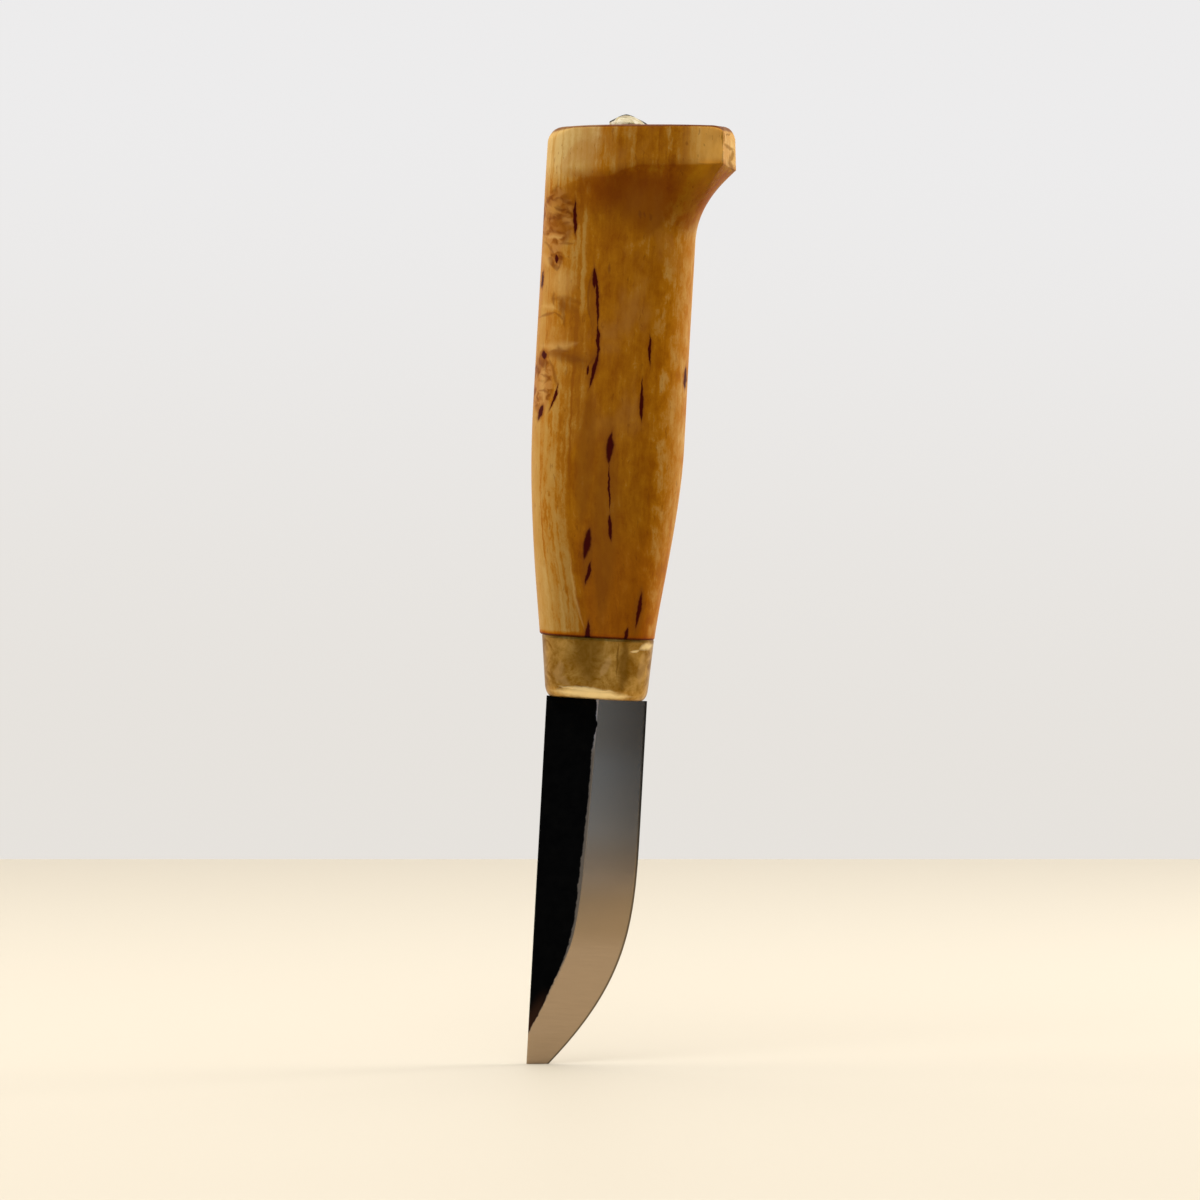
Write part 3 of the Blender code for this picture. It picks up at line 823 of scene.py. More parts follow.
FRONT_FOLDS_AND_SHADES = (
    (4.5, 156.2, 4.7, 146.3, 0.4, -0.75),
    (6.2, 140.2, 4.8, 138.0, 0.5, 0.0),
    (12.9, 168.7, 13.3, 167.1, 0.5, 0.0),
    (14.0, 168.4, 14.2, 167.4, 0.4, 0.0),
    (15.1, 168.3, 15.3, 166.8, 0.45, 0.0),
    (7.75, 158.1, 7.7, 156.1, 0.4, 0.0),
    (-4.2, 169.9, -2.5, 170.4, 0.4, 0.0),
    (-2.8, 170.2, 0.5, 169.2, 0.55, -0.2),
    (-3.5, 168.4, -1.0, 168.3, 0.4, -0.4),
    (-1.1, 168.6, -1.4, 167.2, 0.45, 0.2),
    (-4.7, 166.2, -1.1, 167.0, 0.65, -0.2),
    (-5.1, 163.7, -1.0, 163.4, 0.45, 0.15),
    (-1.9, 165.2, -0.4, 165.6, 0.5, 0.0),
    (-0.2, 164.2, -1.7, 161.4, 1.0, 0.0),
    (-2.3, 161.5, 0.3, 161.6, 0.55, 0.0),
    (-5.3, 161.7, -3.2, 159.1, 0.45, 0.2),
    (-2.7, 160.0, -2.3, 156.6, 0.45, 0.55),
    (-3.0, 151.8, -2.8, 149.4, 0.5, 0.0),
    (-1.3, 150.5, -0.95, 147.5, 1.1, 0.0),
    (-5.5, 146.8, -2.3, 147.8, 0.4, 0.25),
    (-2.6, 147.8, -0.4, 146.3, 0.4, 0.2),
    (-0.9, 148.4, -0.5, 145.2, 0.4, 0.1),
    (-3.4, 140.2, 0.6, 140.4, 0.6, 0.2),
    (-3.6, 140.2, 3.6, 138.8, 1.4, -0.3),
    (-1.4, 141.4, -0.5, 138.4, 1.1, 0.0),
    (-4.5, 139.2, -5.2, 135.4, 0.9, 0.0),
    (-2.85, 138.4, -1.05, 132.9, 0.5, 0.2),
    (-4.6, 135.7, -2.4, 134.5, 0.4, 0.2),
    (-4.8, 132.5, -2.6, 132.0, 0.4, 0.2),
)
FRONT_RIDGES_AND_HIGHLIGHTS = (
    (-5.2, 141.4, 2.4, 142.2, 2.0, -0.5),
    (-3.9, 138.0, -3.6, 129.8, 1.4, -0.3),
    (-5.3, 149.0, -2.0, 148.6, 1.4, 0.2),
    (-5.0, 162.7, -1.6, 162.6, 0.9, 0.0),
    (-2.2, 157.4, -1.0, 150.4, 5.6, 0.0),
    (-5.4, 168.2, -2.2, 168.2, 2.8, 0.0),
    (-5.2, 159.6, -3.9, 156.4, 1.8, 0.0),
    (3.1, 101.0, 7.0, 85.6, 0.7, -0.6),
    (30.6, 188.4, 31.0, 177.4, 3.2, 0.0),
)
FRONT_STAINS_AND_SHADES = (
    (4.9, 158.5, 5.3, 143.0, 2.4, 0.0),
    (6.2, 142.5, 4.6, 133.5, 2.8, 0.2),
    (9.4, 132.0, 9.8, 84.0, 6.4, 0.0),
    (5.4, 136.0, 4.8, 104.0, 4.4, 0.0),
    (7.2, 108.0, 6.2, 93.5, 3.0, 0.0),
    (17.6, 96.5, 16.4, 83.0, 2.6, 0.0),
    (-3.4, 150.6, 2.6, 150.0, 2.0, 0.2),
    (-2.2, 149.8, 2.4, 148.2, 3.0, 0.0),
    (-3.2, 140.3, 3.6, 139.8, 2.4, 0.1),
    (0.2, 139.7, 5.8, 137.2, 3.8, 0.2),
    (-5.4, 165.2, 0.3, 164.6, 3.4, 0.0),
)
FRONT_SWIRLS = (
    (-3.2, 173.5, -2.8, 159.0, 8.6, 0.0),
    (-3.2, 161.2, -2.6, 155.8, 4.0, 0.0),
    (-4.4, 141.6, -4.2, 126.4, 5.4, 0.0),
)
BEAK_CURLS = (
    (28.25, 186.0, 28.45, 182.3, 0.6, 0.0),
    (28.5, 182.5, 30.9, 181.7, 0.8, -0.2),
    (28.9, 184.4, 30.0, 184.5, 0.5, 0.0),
    (30.5, 181.9, 29.9, 178.7, 0.95, 0.25),
    (29.9, 180.0, 31.2, 177.3, 0.9, -0.25),
)
# Painted shade and dark reflections on the ferrule
FERRULE_SHADOWS = (
    (6.8, 90.0, 8.2, 74.0, 9.0, 0.0),
    (14.9, 87.0, 14.7, 72.6, 3.0, 0.0),
    (13.5, 85.0, 13.6, 76.5, 0.7, 0.0),
    (1.7, 74.0, 4.6, 75.3, 0.4, 0.1),
    (4.4, 75.3, 9.2, 74.6, 0.4, 0.2),
)
# Painted highlights on the ferrule
FERRULE_HIGHLIGHTS = (
    (12.2, 82.0, 9.9, 76.8, 2.4, 0.3),
    (2.6, 80.5, 1.8, 74.8, 3.0, 0.0),
    (0.6, 77.6, 4.8, 75.0, 2.6, 0.1),
    (18.6, 83.0, 18.0, 75.0, 2.0, 0.0),
)
# Painted highlights along the lip and on the ferrule
FERRULE_GLINTS = (
    (0.6, 74.0, 17.2, 73.4, 2.9, 0.0),
    (1.8, 74.8, 14.4, 74.3, 1.3, 0.0),
    (17.4, 83.0, 20.6, 83.9, 1.7, 0.0),
    (16.0, 82.3, 17.8, 82.8, 0.7, 0.0),
)
BACK_HEARTS = (
    (2.8, 165.0, 2.2, 155.0, 1.2, 0.2),
    (14.7, 156.5, 15.3, 148.5, 1.0, 0.0),
    (8.3, 146.0, 7.7, 132.0, 1.5, -0.3),
    (19.4, 133.6, 19.6, 128.4, 1.0, 0.0),
    (3.4, 125.2, 2.6, 118.8, 1.1, 0.0),
    (12.2, 117.6, 12.8, 108.4, 1.4, 0.1),
    (7.3, 102.0, 6.7, 96.0, 1.1, 0.0),
    (15.0, 94.2, 15.0, 89.8, 0.9, 0.0),
)

# The two sides of the painted shade that comes to a point under the cove, each as a slope and a height
COVE_SHADOW_LEFT = (0.709, 174.9)
COVE_SHADOW_RIGHT = (-1.11, 146.6)

# Depth that takes a stroke off the side of the handle that doesn't show it
OTHER_SIDE = 9.0

# Colours of the wood
BIRCH_TONES = (
    (0.30, (0.30, 0.080, 0.0001)),
    (0.50, (0.42, 0.140, 0.002)),
    (0.65, (0.50, 0.235, 0.042)),
    (0.85, (0.66, 0.410, 0.140)),
    (1.00, (0.80, 0.560, 0.220)),
)
GLOW_TONES = ((0.30, (0.29, 0.068, 0.0002)), (0.62, (0.46, 0.128, 0.002)))
SWIRL_TONES = (
    (0.38, (0.19, 0.046, 0.001)),
    (0.47, (0.31, 0.098, 0.008)),
    (0.58, (0.43, 0.175, 0.034)),
)
BEAK_GOLD = rgba(0.93, 0.445, 0.080)
SAPWOOD_TAN = rgba(0.49, 0.258, 0.052)
BLUSH_BROWN = rgba(0.44, 0.168, 0.022)
FLECK_BROWN = rgba(0.20, 0.052, 0.001)
STAIN_AND_SHADE_BROWN = rgba(0.27, 0.078, 0.003)
COVE_SHADOW_BROWN = rgba(0.27, 0.068, 0.0003)
RIDGE_PALE_AND_HIGHLIGHT = rgba(0.66, 0.37, 0.10)
FOLD_AND_SHADE_BROWN = rgba(0.19, 0.050, 0.004)
BEAK_CURL_BROWN = rgba(0.26, 0.110, 0.004)
HEART_EDGE_BROWN = rgba(0.24, 0.060, 0.004)
HEART_MAROON = rgba(0.052, 0.002, 0.0002)
COVE_SHADE = rgba(0.94, 0.69, 0.07)
TOP_SHADE = rgba(0.32, 0.22, 0.18)
UNDER_BEAK_SHADE = rgba(0.74, 0.70, 0.80)
JOINT_SHADE = rgba(0.50, 0.38, 0.32)


class CurlyBirch(Finish):
    """Oiled curly birch: streaked grain, pale sapwood at the spine, folds, stains and dark hearts, and
    painted shade and highlights.

    Its zones lie at X and Z in millimetres of the frame, and stray a little so that they look grown.
    """

    def __init__(self):
        super().__init__("curly_birch")
        self.spot = self.object_mm()
        self.place = self.wander(self.spot, 0.6, 0.8)
        self.x, self.y, self.z = self.split(self.place)
        self.front = self.rise(self.y, 0.8, 0.2)
        self.end_grain = self.attribute("end_grain")
        self.under = self.times(self.attribute("under_beak"), self.rise(self.z, 160.0, 168.0))
        self.lay_grain()
        self.mark_zones()
        wood = self.shaded(self.figured(self.tinted(self.tone())))
        rough = self.rise(self.streaks, 0.3, 0.7, 0.42, 0.54)
        self.set(Base_Color=wood, Roughness=rough, Specular_IOR_Level=0.05)
        self.bump(self.plus(self.fibres, self.hearts, -0.6), 0.1, 0.12 * MM)

    def lay_grain(self):
        """Patterns that run along the handle and bend towards the edge near the ferrule."""
        self.aside = self.math("SUBTRACT", self.x, self.rise(self.z, 114.0, 83.0, 0.0, 4.3))
        self.grain = self.join(self.aside, self.y, self.z)
        self.streaks = self.noise(self.stretch(self.grain, (0.9, 0.9, 0.016)), 1.0, 3.0, 0.6, 0.2)
        self.mottle = self.noise(self.stretch(self.grain, (0.34, 0.34, 0.22)), 1.0, 4.0, 0.6, 0.25)
        self.fibres = self.noise(self.stretch(self.grain, (2.2, 2.2, 0.3)), 1.0, 3.0, 0.6)
        self.specks = self.noise(self.place, 2.6, 2.0, 0.6)
        rings = self.noise(self.stretch(self.grain, (0.42, 0.42, 0.005), (3.0, 0.0, 0.0)), 1.0, 1.0)
        self.planks = self.rise(rings, 0.47, 0.53)
        self.seams = self.near(rings, 0.465, 0.05, 0.0)

    def mark_zones(self):
        """Sapwood at the spine, flank at the edge, pommel band, beak facet, and a painted rim light along
        the edge side of the neck.
        """
        border = self.math("SUBTRACT", self.aside, self.rise(self.z, 152.0, 136.0, 3.1, 4.4))
        border = self.plus(border, self.rise(self.z, 128.0, 119.0, 0.0, 2.8))
        border = self.plus(border, self.mottle, 1.5)
        lengthwise = self.rise(self.math("ABSOLUTE", self.end_grain), 0.0, 1.0, 1.0, 0.0)
        self.sapwood = self.times(self.rise(border, 1.4, 0.2), lengthwise)
        self.flank = self.rise(self.plus(self.x, self.mottle, 7.0), 21.0, 24.5)
        self.band = self.rise(self.z, 172.0, 178.0)
        self.facet = self.times(self.rise(self.x, 28.2, 28.8), self.rise(self.z, 176.6, 177.8))
        # Painted rim light: the edge side of the neck made lighter, as if lit from that side
        self.rim = self.times(self.rise(self.x, 21.5, 24.0), self.rise(self.z, 172.0, 166.0))

    def sapwood_tone(self):
        """How much lighter the sapwood is: most towards the spine, with a dark groove and a pale strip."""
        groove = self.times(self.near(self.aside, 2.5, 1.2, 0.6), self.rise(self.z, 152.0, 146.0))
        strip = self.times(self.rise(self.z, 146.0, 151.0), self.rise(self.z, 170.0, 164.0))
        strip = self.times(strip, self.near(self.x, 1.6, 2.2, 0.8))
        tone = self.rise(self.aside, 4.5, -2.0, 0.1, 0.2)
        tone = self.plus(tone, self.rise(self.z, 138.0, 120.0, 0.0, 0.06))
        tone = self.plus(tone, self.rise(self.z, 112.0, 98.0, 0.0, 0.05))
        for layer, amount in ((self.planks, 0.07), (self.seams, -0.1), (groove, -0.12), (strip, 0.1)):
            tone = self.plus(tone, layer, amount)
        return tone

    def band_tone(self):
        """How much lighter the pommel's band is: pale by the spine, partly pale wood and partly painted
        light from that side, and shaded before the beak.
        """
        # Pale by the spine: pale wood with painted light from that side
        tone = self.plus(self.rise(self.x, 8.0, 0.0, 0.03, 0.46), self.rise(self.x, -2.0, -4.5, 0.0, -0.16))
        tone = self.plus(tone, self.near(self.x, 20.2, 2.4, 1.0, 0.0, -0.14))
        tone = self.plus(tone, self.planks, 0.05)
        return self.math("SUBTRACT", self.plus(tone, self.streaks, 0.3), 0.15)

    def tone(self):
        """Lightness of the wood, capped where the heartwood shows."""
        layers = (
            (self.streaks, 0.28),
            (self.specks, 0.12),
            (self.mottle, self.rise(self.sapwood, 0.0, 1.0, 0.6, 0.4)),
            (self.fibres, 0.18),
            (self.sapwood, self.sapwood_tone()),
            (self.band, self.band_tone()),
            (self.facet, 0.16),
            (self.flank, 0.13),
            # Painted rim light along the edge side of the neck
            (self.rim, 0.08),
        )
        tone = -0.18
        for layer, amount in layers:
            tone = self.plus(tone, layer, amount)
        pale = self.most(self.sapwood, self.band)
        pale = self.most(pale, self.times(self.flank, 0.3), self.times(self.rim, 0.6))
        return self.math("MINIMUM", tone, self.rise(pale, 0.0, 1.0, 0.555, 1.0))

    def tinted(self, tone):
        """Plain wood of a tone, with its gold, tan, blushed and glowing parts and its small flecks."""
        wood = self.ramp(tone, BIRCH_TONES)
        gold = self.times(self.rise(self.x, 19.0, 27.0, 0.0, 0.75), self.rise(self.z, 168.0, 174.0))
        gold = self.times(gold, self.rise(self.most(self.facet, self.under), 0.0, 1.0, 1.0, 0.0))
        gold = self.times(gold, self.rise(self.end_grain, 0.2, 0.7, 1.0, 0.0))
        wood = self.blend(gold, wood, BEAK_GOLD)
        tan = self.times(self.sapwood, self.rise(tone, 0.42, 0.6, 0.06, 0.55))
        wood = self.blend(tan, wood, SAPWOOD_TAN)
        broad = self.stretch(self.grain, (0.11, 0.11, 0.06), (5.0, 2.0, 0.0))
        blush = self.noise(broad, 1.0, 3.0, 0.55, 0.4)
        blush = self.times(self.rise(blush, 0.48, 0.66, 0.0, 0.55), self.rise(self.z, 120.0, 132.0))
        wood = self.blend(blush, wood, BLUSH_BROWN)
        glow = self.times(self.rise(self.z, 112.0, 98.0, 0.0, 0.75), self.rise(self.aside, 1.5, 4.0))
        glow = self.times(glow, self.rise(self.flank, 0.0, 1.0, 1.0, 0.25))
        wood = self.blend(glow, wood, self.ramp(tone, GLOW_TONES))
        flecks = self.noise(self.stretch(self.place, (1.5, 1.5, 0.42), (7.0, 1.0, 0.0)), 1.0, 2.0, 0.55)
        return self.blend(self.rise(flecks, 0.64, 0.72, 0.0, 0.4), wood, FLECK_BROWN)

    def on_front(self, strokes):
        """Depth of strokes that only the front shows."""
        back = self.math("SUBTRACT", 1.0, self.front)
        return self.plus(self.strokes(self.place, strokes), back, -OTHER_SIDE)

    def on_back(self, strokes):
        """Depth of strokes that only the back shows."""
        return self.plus(self.strokes(self.place, strokes), self.front, -OTHER_SIDE)

    def cove_shadow(self):
        """Painted shade that fills the cove and comes to a point below it."""
        left = self.plus(self.z, self.x, COVE_SHADOW_LEFT[0])
        left = self.plus(left, self.mottle, 2.4)
        right = self.plus(self.z, self.x, COVE_SHADOW_RIGHT[0])
        stain = self.times(
            self.rise(left, COVE_SHADOW_LEFT[1] - 1.0, COVE_SHADOW_LEFT[1] + 2.0),
            self.rise(right, COVE_SHADOW_RIGHT[1] - 0.8, COVE_SHADOW_RIGHT[1] + 1.2),
            self.rise(self.x, 16.5, 21.5, 1.0, 0.3), self.rise(self.z, 177.0, 174.0, 0.0, 0.66))
        return self.times(stain, self.front)

    def figured(self, wood):
        """Wood with its swirls, stains, ridges, folds and hearts drawn on, with painted shade in the cove
        and under some folds, and painted highlight on some ridges.
        """
        swirl = self.noise(self.stretch(self.place, (0.38, 0.38, 0.6)), 1.0, 1.5, 0.5, 0.9)
        patches = self.rise(self.on_front(FRONT_SWIRLS), 0.0, 0.4, 0.0, 0.88)
        wood = self.blend(patches, wood, self.ramp(swirl, SWIRL_TONES))
        # Stains, ridges and folds are the figure's own colour, with painted shade under some folds and
        # painted highlight on some ridges
        stains = self.rise(self.on_front(FRONT_STAINS_AND_SHADES), -0.2, 0.6, 0.0, 0.62)
        wood = self.blend(stains, wood, STAIN_AND_SHADE_BROWN)
        # Painted shade in the cove and down to a point below it
        wood = self.blend(self.cove_shadow(), wood, COVE_SHADOW_BROWN)
        ridges = self.rise(self.on_front(FRONT_RIDGES_AND_HIGHLIGHTS), -0.5, 1.1, 0.0, 0.48)
        wood = self.blend(ridges, wood, RIDGE_PALE_AND_HIGHLIGHT)
        folds = self.rise(self.on_front(FRONT_FOLDS_AND_SHADES), -1.1, 0.6, 0.0, 0.55)
        wood = self.blend(folds, wood, FOLD_AND_SHADE_BROWN)
        curls = self.rise(self.on_front(BEAK_CURLS), -0.5, 0.6, 0.0, 0.78)
        wood = self.blend(curls, wood, BEAK_CURL_BROWN)
        depth = self.most(self.on_front(FRONT_HEARTS), self.on_back(BACK_HEARTS))
        wood = self.blend(self.rise(depth, -1.0, 0.2, 0.0, 0.5), wood, HEART_EDGE_BROWN)
        self.hearts = self.rise(depth, -0.1, 0.45)
        return self.blend(self.hearts, wood, HEART_MAROON)

    def shaded(self, wood):
        """Wood darkened in the cove, on the pommel's top, under the beak and along the joint."""
        _, _, height = self.split(self.spot)
        joint = self.rise(height, JOINT_Z / MM + 0.5, JOINT_Z / MM + 0.15)
        wood = self.blend(self.rise(self.end_grain, 0.0, -1.0), wood, COVE_SHADE, "MULTIPLY")
        wood = self.blend(self.rise(self.end_grain, 0.0, 0.6), wood, TOP_SHADE, "MULTIPLY")
        wood = self.blend(self.under, wood, UNDER_BEAK_SHADE, "MULTIPLY")
        return self.blend(joint, wood, JOINT_SHADE, "MULTIPLY")


# Colours of the steel
FORGE_TONES = ((0.3, (0.001, 0.001, 0.001)), (0.75, (0.003, 0.0028, 0.0024)))
BEVEL_TONES = ((0.3, (0.375, 0.272, 0.176)), (0.7, (0.415, 0.303, 0.196)))
# Painted reflections on the bevel: cooler in the middle, duller below
BEVEL_COOL_REFLECTION = rgba(0.48, 0.395, 0.290)
BEVEL_DULL_REFLECTION = rgba(0.31, 0.215, 0.120)
WORN_STEEL = rgba(0.18, 0.15, 0.12)
WORN_TIP = rgba(0.23, 0.145, 0.08)
WORN_SHOULDER = rgba(0.42, 0.40, 0.40)
RUST_BROWN = rgba(0.045, 0.018, 0.008)
EDGE_GREY = rgba(0.07, 0.06, 0.045)
PEEN_BRIGHT = rgba(0.80, 0.68, 0.44)
# Painted dark reflection, shared by the peened end and the rivet plate
PAINTED_DARK_REFLECTION = rgba(0.03, 0.026, 0.017)
CHIP_BLACK = rgba(0.002, 0.002, 0.002)

# Roughness of the ground bevels
BEVEL_ROUGHNESS = 0.15


class ForgedSteel(Finish):
    """Black forge skin on the flats, a worn line along the grind, satin bevels and a dark fine edge.

    Its zones follow the UV map of the grind, and Z in millimetres of the frame.
    """

    def __init__(self):
        super().__init__("forged_steel_skin_and_bevel")
        self.spot = self.object_mm()
        _, self.y, self.z = self.split(self.spot)
        self.scale_tone = self.noise(self.spot, 0.5, 4.0, 0.65)
        self.lines = self.noise(self.stretch(self.spot, (0.12, 1.0, 5.5)), 1.0, 3.0, 0.6)
        self.mark_zones()
        colour = self.blend(self.ground, self.forge_skin(), self.worn_line())
        colour = self.blend(self.bevel, colour, self.bevel_steel())
        colour = self.blend(self.fine_edge, colour, EDGE_GREY)
        colour = self.blend(self.peen, colour, PEEN_BRIGHT)
        # Painted dark reflection on the peened end
        colour = self.blend(self.dark_reflection, colour, PAINTED_DARK_REFLECTION)
        chip = self.rise(self.strokes(self.spot, (FORGE_CHIP,)), 0.0, 0.3)
        colour = self.blend(chip, colour, CHIP_BLACK)
        rough = self.plus(self.rise(self.bevel, 0.0, 1.0, 0.5, BEVEL_ROUGHNESS), self.peen, 0.25)
        metal = self.math("SUBTRACT", self.ground, self.dark_reflection)
        self.set(Base_Color=colour, Metallic=metal, Roughness=rough, Specular_IOR_Level=0.012)
        relief = self.times(self.scale_tone, self.math("SUBTRACT", 1.0, self.ground))
        self.bump(self.plus(relief, self.lines, 0.1), 0.03, 0.03 * MM)

    def mark_zones(self):
        """Ground steel past a ragged line, the bevel proper, the fine edge, and the peened end with a
        painted dark reflection on its front side.
        """
        uv_map = self.node("ShaderNodeUVMap", uv_map="grind")
        self.past, inside, _ = self.split(uv_map.outputs[0])
        ragged = self.math("SUBTRACT", self.noise(self.spot, 0.9, 3.0, 0.6), 0.5)
        wavy = self.math("SUBTRACT", self.noise(self.spot, 0.14, 1.0), 0.5)
        reach = self.plus(self.plus(self.past, wavy), ragged, 0.7)
        reach = self.plus(reach, self.rise(self.z, 28.0, 10.0, 0.0, -0.35))
        reach = self.plus(reach, self.rise(self.z, 62.0, 68.0, 0.0, -0.4))
        self.ground = self.rise(reach, -0.6, -0.35)
        bevel = self.plus(self.past, self.rise(self.z, 26.0, 12.0, 0.0, 1.0))
        self.bevel = self.times(self.ground, self.rise(bevel, -0.05, 0.25))
        self.fine_edge = self.times(self.ground, self.rise(inside, 0.5, 0.3, 0.0, 0.75))
        self.peen = self.math("GREATER_THAN", inside, PEEN_MARK / 2)
        # Painted dark reflection on the front side of the peened end
        uneven = self.plus(self.y, ragged, 1.2)
        self.dark_reflection = self.times(self.peen, self.rise(uneven, -1.2, -0.8), self.rise(uneven, 0.4, 0.0))

    def forge_skin(self):
        """Black skin, rusty by the grind near the tip."""
        rust = self.times(self.rise(self.z, 16.0, 9.5, 0.0, 0.8), self.rise(self.past, -3.0, -0.8))
        return self.blend(rust, self.ramp(self.scale_tone, FORGE_TONES), RUST_BROWN)

    def worn_line(self):
        """Steel bared along the grind line, brown at the tip and grey at the shoulder."""
        worn = self.blend(self.rise(self.z, 24.0, 12.0), WORN_STEEL, WORN_TIP)
        return self.blend(self.rise(self.z, 61.0, 67.0), worn, WORN_SHOULDER)

    def bevel_steel(self):
        """Finely scratched steel, with painted reflections: cooler in the middle and duller below."""
        # Painted reflections, by height on the bevel
        cool_reflection = self.times(self.rise(self.z, 40.0, 48.0), self.rise(self.z, 66.0, 58.0, 0.0, 0.6))
        dull_reflection = self.times(self.rise(self.z, 22.0, 28.0), self.rise(self.z, 38.0, 32.0, 0.0, 0.6))
        steel = self.blend(cool_reflection, self.ramp(self.lines, BEVEL_TONES), BEVEL_COOL_REFLECTION)
        return self.blend(dull_reflection, steel, BEVEL_DULL_REFLECTION)


# Colours of the ferrule
BRASS_TONES = ((0.38, (0.275, 0.123, 0.008)), (0.64, (0.50, 0.285, 0.068)))
# Shadow is painted shade and dark reflection; the rubbed and glint colours are painted highlights
BRASS_SHADOW = rgba(0.15, 0.063, 0.003)
BRASS_HIGHLIGHT = rgba(0.60, 0.38, 0.145)
BRASS_GLINT = rgba(0.95, 0.74, 0.37)


def handled_brass():
    """Brass with smudges, and painted shade, dark reflections and highlights drawn as strokes."""
    finish = Finish("ferrule_brass_finish")
    spot = finish.object_mm()
    smudge = finish.noise(spot, 0.3, 4.0, 0.6, 1.0)
    grain = finish.noise(spot, 1.6, 3.0, 0.6)
    tone = finish.plus(finish.times(smudge, 0.75), grain, 0.25)
    colour = finish.ramp(tone, BRASS_TONES)
    place = finish.wander(spot, 0.5, 1.0)
    # Painted shade and dark reflections, then painted highlights and glints
    dark = finish.rise(finish.strokes(place, FERRULE_SHADOWS), -0.1, 0.8, 0.0, 0.7)
    colour = finish.blend(dark, colour, BRASS_SHADOW)
    painted_highlight = finish.rise(finish.strokes(place, FERRULE_HIGHLIGHTS), 0.0, 0.7, 0.0, 0.42)
    colour = finish.blend(painted_highlight, colour, BRASS_HIGHLIGHT)
    glint = finish.rise(finish.strokes(place, FERRULE_GLINTS), -0.2, 0.8, 0.0, 0.8)
    colour = finish.blend(glint, colour, BRASS_GLINT)
    finish.set(Base_Color=colour, Metallic=1.0, Roughness=finish.rise(smudge, 0.3, 0.7, 0.48, 0.34))
    finish.bump(tone, 0.08, 0.06 * MM)
    return finish.material


# The plate's ridge on either side of the rivet, as a slope and a height in millimetres at the tang's axis
RIDGE_SPINE = (0.40, 2.12)
RIDGE_EDGE = (-0.468, 2.21)

# Colours of the rivet plate
PLATE_TONES = ((0.38, (0.62, 0.52, 0.28)), (0.58, (0.98, 0.90, 0.68)))
PLATE_MIDDLE = rgba(0.50, 0.41, 0.20)


def riveted_brass():
    """Pale hammered brass with a painted dark reflection along the front side of its ridge."""
    finish = Finish("rivet_brass_finish")
    spot = finish.object_mm()
    x, y, z = finish.split(spot)
    aside = finish.math("SUBTRACT", x, TANG_AXIS / MM)
    height = finish.math("SUBTRACT", z, PLATE_Z / MM)
    height = finish.plus(height, aside, -math.tan(POMMEL_TILT))
    smudge = finish.noise(spot, 0.8, 3.0, 0.6)
    middle = finish.near(aside, 0.4, 2.0, 0.6, 0.0, 0.6)
    colour = finish.blend(middle, finish.ramp(smudge, PLATE_TONES), PLATE_MIDDLE)
    ridges = []
    for slope, ridge in (RIDGE_SPINE, RIDGE_EDGE):
        ridges.append(finish.rise(finish.plus(height, aside, -slope), ridge - 0.45, ridge - 0.2))
    uneven = finish.plus(y, smudge, 1.6)
    crest = finish.times(finish.rise(uneven, -0.7, 0.1), finish.rise(uneven, 1.1, 0.8))
    # Painted dark reflection along the front side of the plate's ridge
    dark = finish.times(finish.most(*ridges), crest)
    colour = finish.blend(dark, colour, PAINTED_DARK_REFLECTION)
    metal = finish.rise(dark, 0.0, 1.0, 0.6, 0.0)
    finish.set(Base_Color=colour, Metallic=metal, Roughness=0.35, Specular_IOR_Level=0.1)
    return finish.material


RESIN_TONES = ((0.3, (0.30, 0.19, 0.07)), (0.7, (0.42, 0.30, 0.14)))


def cured_resin():
    """Amber resin with faint clouding."""
    finish = Finish("cured_resin")
    cloud = finish.noise(finish.object_mm(), 0.4, 3.0)
    finish.set(Base_Color=finish.ramp(cloud, RESIN_TONES), Roughness=0.45)
    return finish.material


FLOOR_BEHIND = 0.716
FLOOR_BEFORE = 0.38
FLOOR_HALF_WIDTH = 0.62
FLOOR_THICKNESS = 0.03
FLOOR_ROUNDING = 0.002
FLOOR_COLOUR = rgba(0.565, 0.507, 0.403)


def make_floor():
    """Plain pale floor through the origin, level in the camera's view."""
    bm = bmesh.new()
    bmesh.ops.create_cube(bm, size=1.0)
    depth = FLOOR_BEHIND + FLOOR_BEFORE
    bmesh.ops.scale(bm, vec=(2 * FLOOR_HALF_WIDTH, depth, FLOOR_THICKNESS), verts=bm.verts[:])
    centre = (0.0, (FLOOR_BEHIND - FLOOR_BEFORE) / 2, -FLOOR_THICKNESS / 2)
    bmesh.ops.translate(bm, vec=centre, verts=bm.verts[:])
    bmesh.ops.bevel(
        bm, geom=bm.edges[:], offset=FLOOR_ROUNDING, segments=3, profile=0.5, affect="EDGES", material=-1)
    mesh = bpy.data.meshes.new("floor")
    bm.to_mesh(mesh)
    bm.free()
    floor = bpy.data.objects.new("floor", mesh)
    bpy.context.scene.collection.objects.link(floor)
    floor.rotation_euler = (0.0, -KNIFE_LEAN, 0.0)
    finish = Finish("pale_floor")
    finish.set(Base_Color=FLOOR_COLOUR, Roughness=0.6, Specular_IOR_Level=0.25)
    mesh.materials.append(finish.material)
    floor.visible_diffuse = False


AROUND_COLOUR = rgba(1.0, 0.95, 0.9)
BEFORE_COLOUR = rgba(0.72, 1.0, 1.5)
BACKDROP_TONES = ((0.0, (0.845, 0.838, 0.840)), (1.0, (0.795, 0.765, 0.725)))


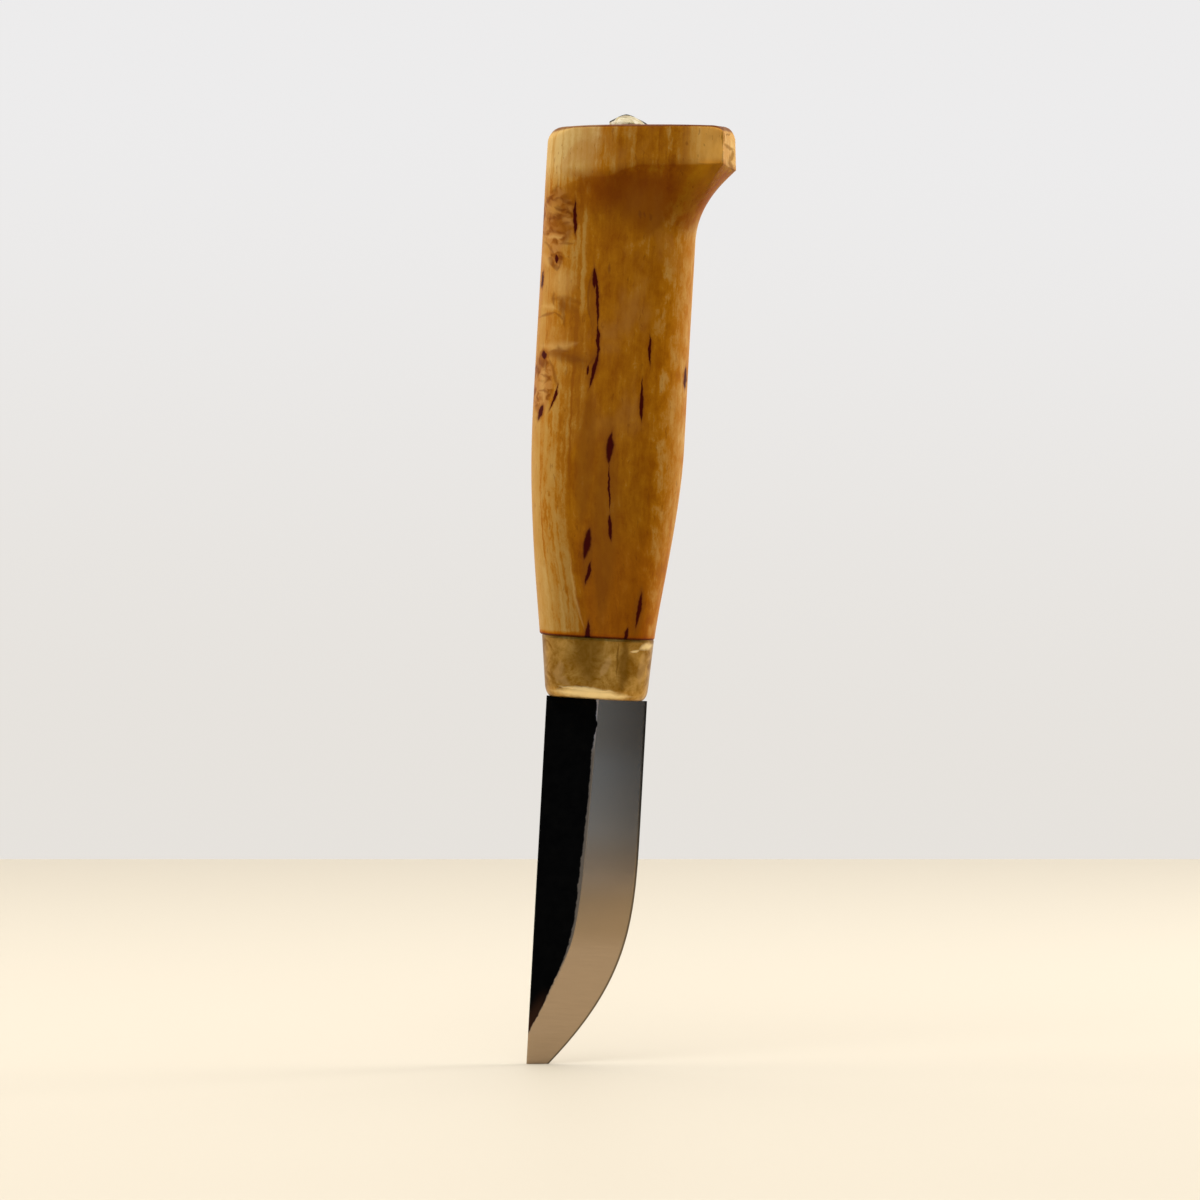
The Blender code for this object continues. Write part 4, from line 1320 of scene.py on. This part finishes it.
def make_world():
    """Pale backdrop for the camera, and light from all round, bright behind the knife and dim before it."""
    world = bpy.data.worlds.new("studio")
    bpy.context.scene.world = world
    world.use_nodes = True
    wiring = Wiring(world.node_tree)
    x, y, z = wiring.split(wiring.node("ShaderNodeTexCoord").outputs["Generated"])
    bright = wiring.most(wiring.rise(y, -0.5, 0.7, 0.0, 0.9), wiring.rise(z, 0.3, 0.9, 0.0, 0.9))
    dim = wiring.times(wiring.rise(x, 0.22, 0.34, 0.34, 0.08), wiring.rise(y, -0.3, -0.8))
    around = world.node_tree.nodes["Background"]
    wiring.put(around.inputs["Color"], AROUND_COLOUR)
    wiring.put(around.inputs["Strength"], bright)
    before = wiring.node("ShaderNodeBackground", BEFORE_COLOUR, dim)
    backdrop = wiring.node("ShaderNodeBackground", wiring.ramp(wiring.rise(z, 0.04, -0.05), BACKDROP_TONES))
    light = wiring.node("ShaderNodeAddShader", around.outputs[0], before.outputs[0])
    camera_ray = wiring.node("ShaderNodeLightPath").outputs["Is Camera Ray"]
    seen = wiring.node("ShaderNodeMixShader", camera_ray, light.outputs[0], backdrop.outputs[0])
    wiring.put(world.node_tree.nodes["World Output"].inputs["Surface"], seen.outputs[0])


def soft_box(name, place, aim, size, power, colour=(1.0, 1.0, 1.0)):
    """Rectangular soft light that neither the camera nor a reflection sees."""
    light = bpy.data.lights.new(name, "AREA")
    light.shape = "RECTANGLE"
    light.size, light.size_y = size
    light.energy = power
    light.color = colour
    made = bpy.data.objects.new(name, light)
    bpy.context.scene.collection.objects.link(made)
    made.location = place
    made.rotation_euler = (Vector(aim) - Vector(place)).to_track_quat("-Z", "Y").to_euler()
    made.visible_camera = False
    made.visible_glossy = False


def make_lights():
    """Large soft boxes: left, right, high before the knife, low before it, and over the far floor."""
    grip = (0.01, 0.0, 0.11)
    soft_box("left_box", (-0.8, 0.1, 0.35), grip, (0.5, 0.8), 5.4, (1.0, 0.97, 0.92))
    soft_box("right_box", (0.8, 0.3, 0.3), grip, (0.4, 0.8), 8.5)
    soft_box("front_box", (-0.25, -0.7, 1.0), grip, (0.9, 0.6), 5.0)
    soft_box("low_box", (0.1, -0.4, 0.02), (0.01, 0.0, 0.17), (0.8, 0.3), 0.5, (1.0, 0.93, 0.8))
    soft_box("far_box", (0.0, 0.5, 1.3), (0.0, 0.4, 0.0), (1.2, 1.0), 8.2)


def make_camera():
    """Camera at the photograph's place: long lens, almost square to the knife, which leans in its view."""
    right = Vector((math.cos(KNIFE_LEAN), 0.0, math.sin(KNIFE_LEAN)))
    plumb = Vector((-math.sin(KNIFE_LEAN), 0.0, math.cos(KNIFE_LEAN)))
    along = Vector((0.0, 1.0, 0.0))
    forward = along * math.cos(CAMERA_PITCH) - plumb * math.sin(CAMERA_PITCH)
    up = plumb * math.cos(CAMERA_PITCH) + along * math.sin(CAMERA_PITCH)
    aside = (ORIGIN_PIXEL[0] - PHOTO_PIXELS / 2) / FOCAL_PIXELS
    below = (PHOTO_PIXELS / 2 - ORIGIN_PIXEL[1]) / FOCAL_PIXELS
    to_origin = forward + right * aside + up * below
    place = -to_origin * (CAMERA_DISTANCE / to_origin.y)
    lens = bpy.data.cameras.new("camera")
    lens.sensor_width = SENSOR_WIDTH
    lens.lens = SENSOR_WIDTH * FOCAL_PIXELS / PHOTO_PIXELS
    camera = bpy.data.objects.new("camera", lens)
    bpy.context.scene.collection.objects.link(camera)
    turn = Matrix((right, up, -forward)).transposed().to_4x4()
    camera.matrix_world = Matrix.Translation(place) @ turn
    bpy.context.scene.camera = camera


def main():
    """Stage, then every piece with its finish; the bedding keeps its solid."""
    bpy.context.scene.view_settings.view_transform = "Standard"
    make_camera()
    make_world()
    make_lights()
    make_floor()
    make_blade(ForgedSteel().material)
    make_ferrule(handled_brass())
    make_handle(CurlyBirch().material)
    make_plate(riveted_brass())
    bedding = frame["nodes"]["tang_bedding"]
    bedding.data.materials.clear()
    bedding.data.materials.append(cured_resin())


main()
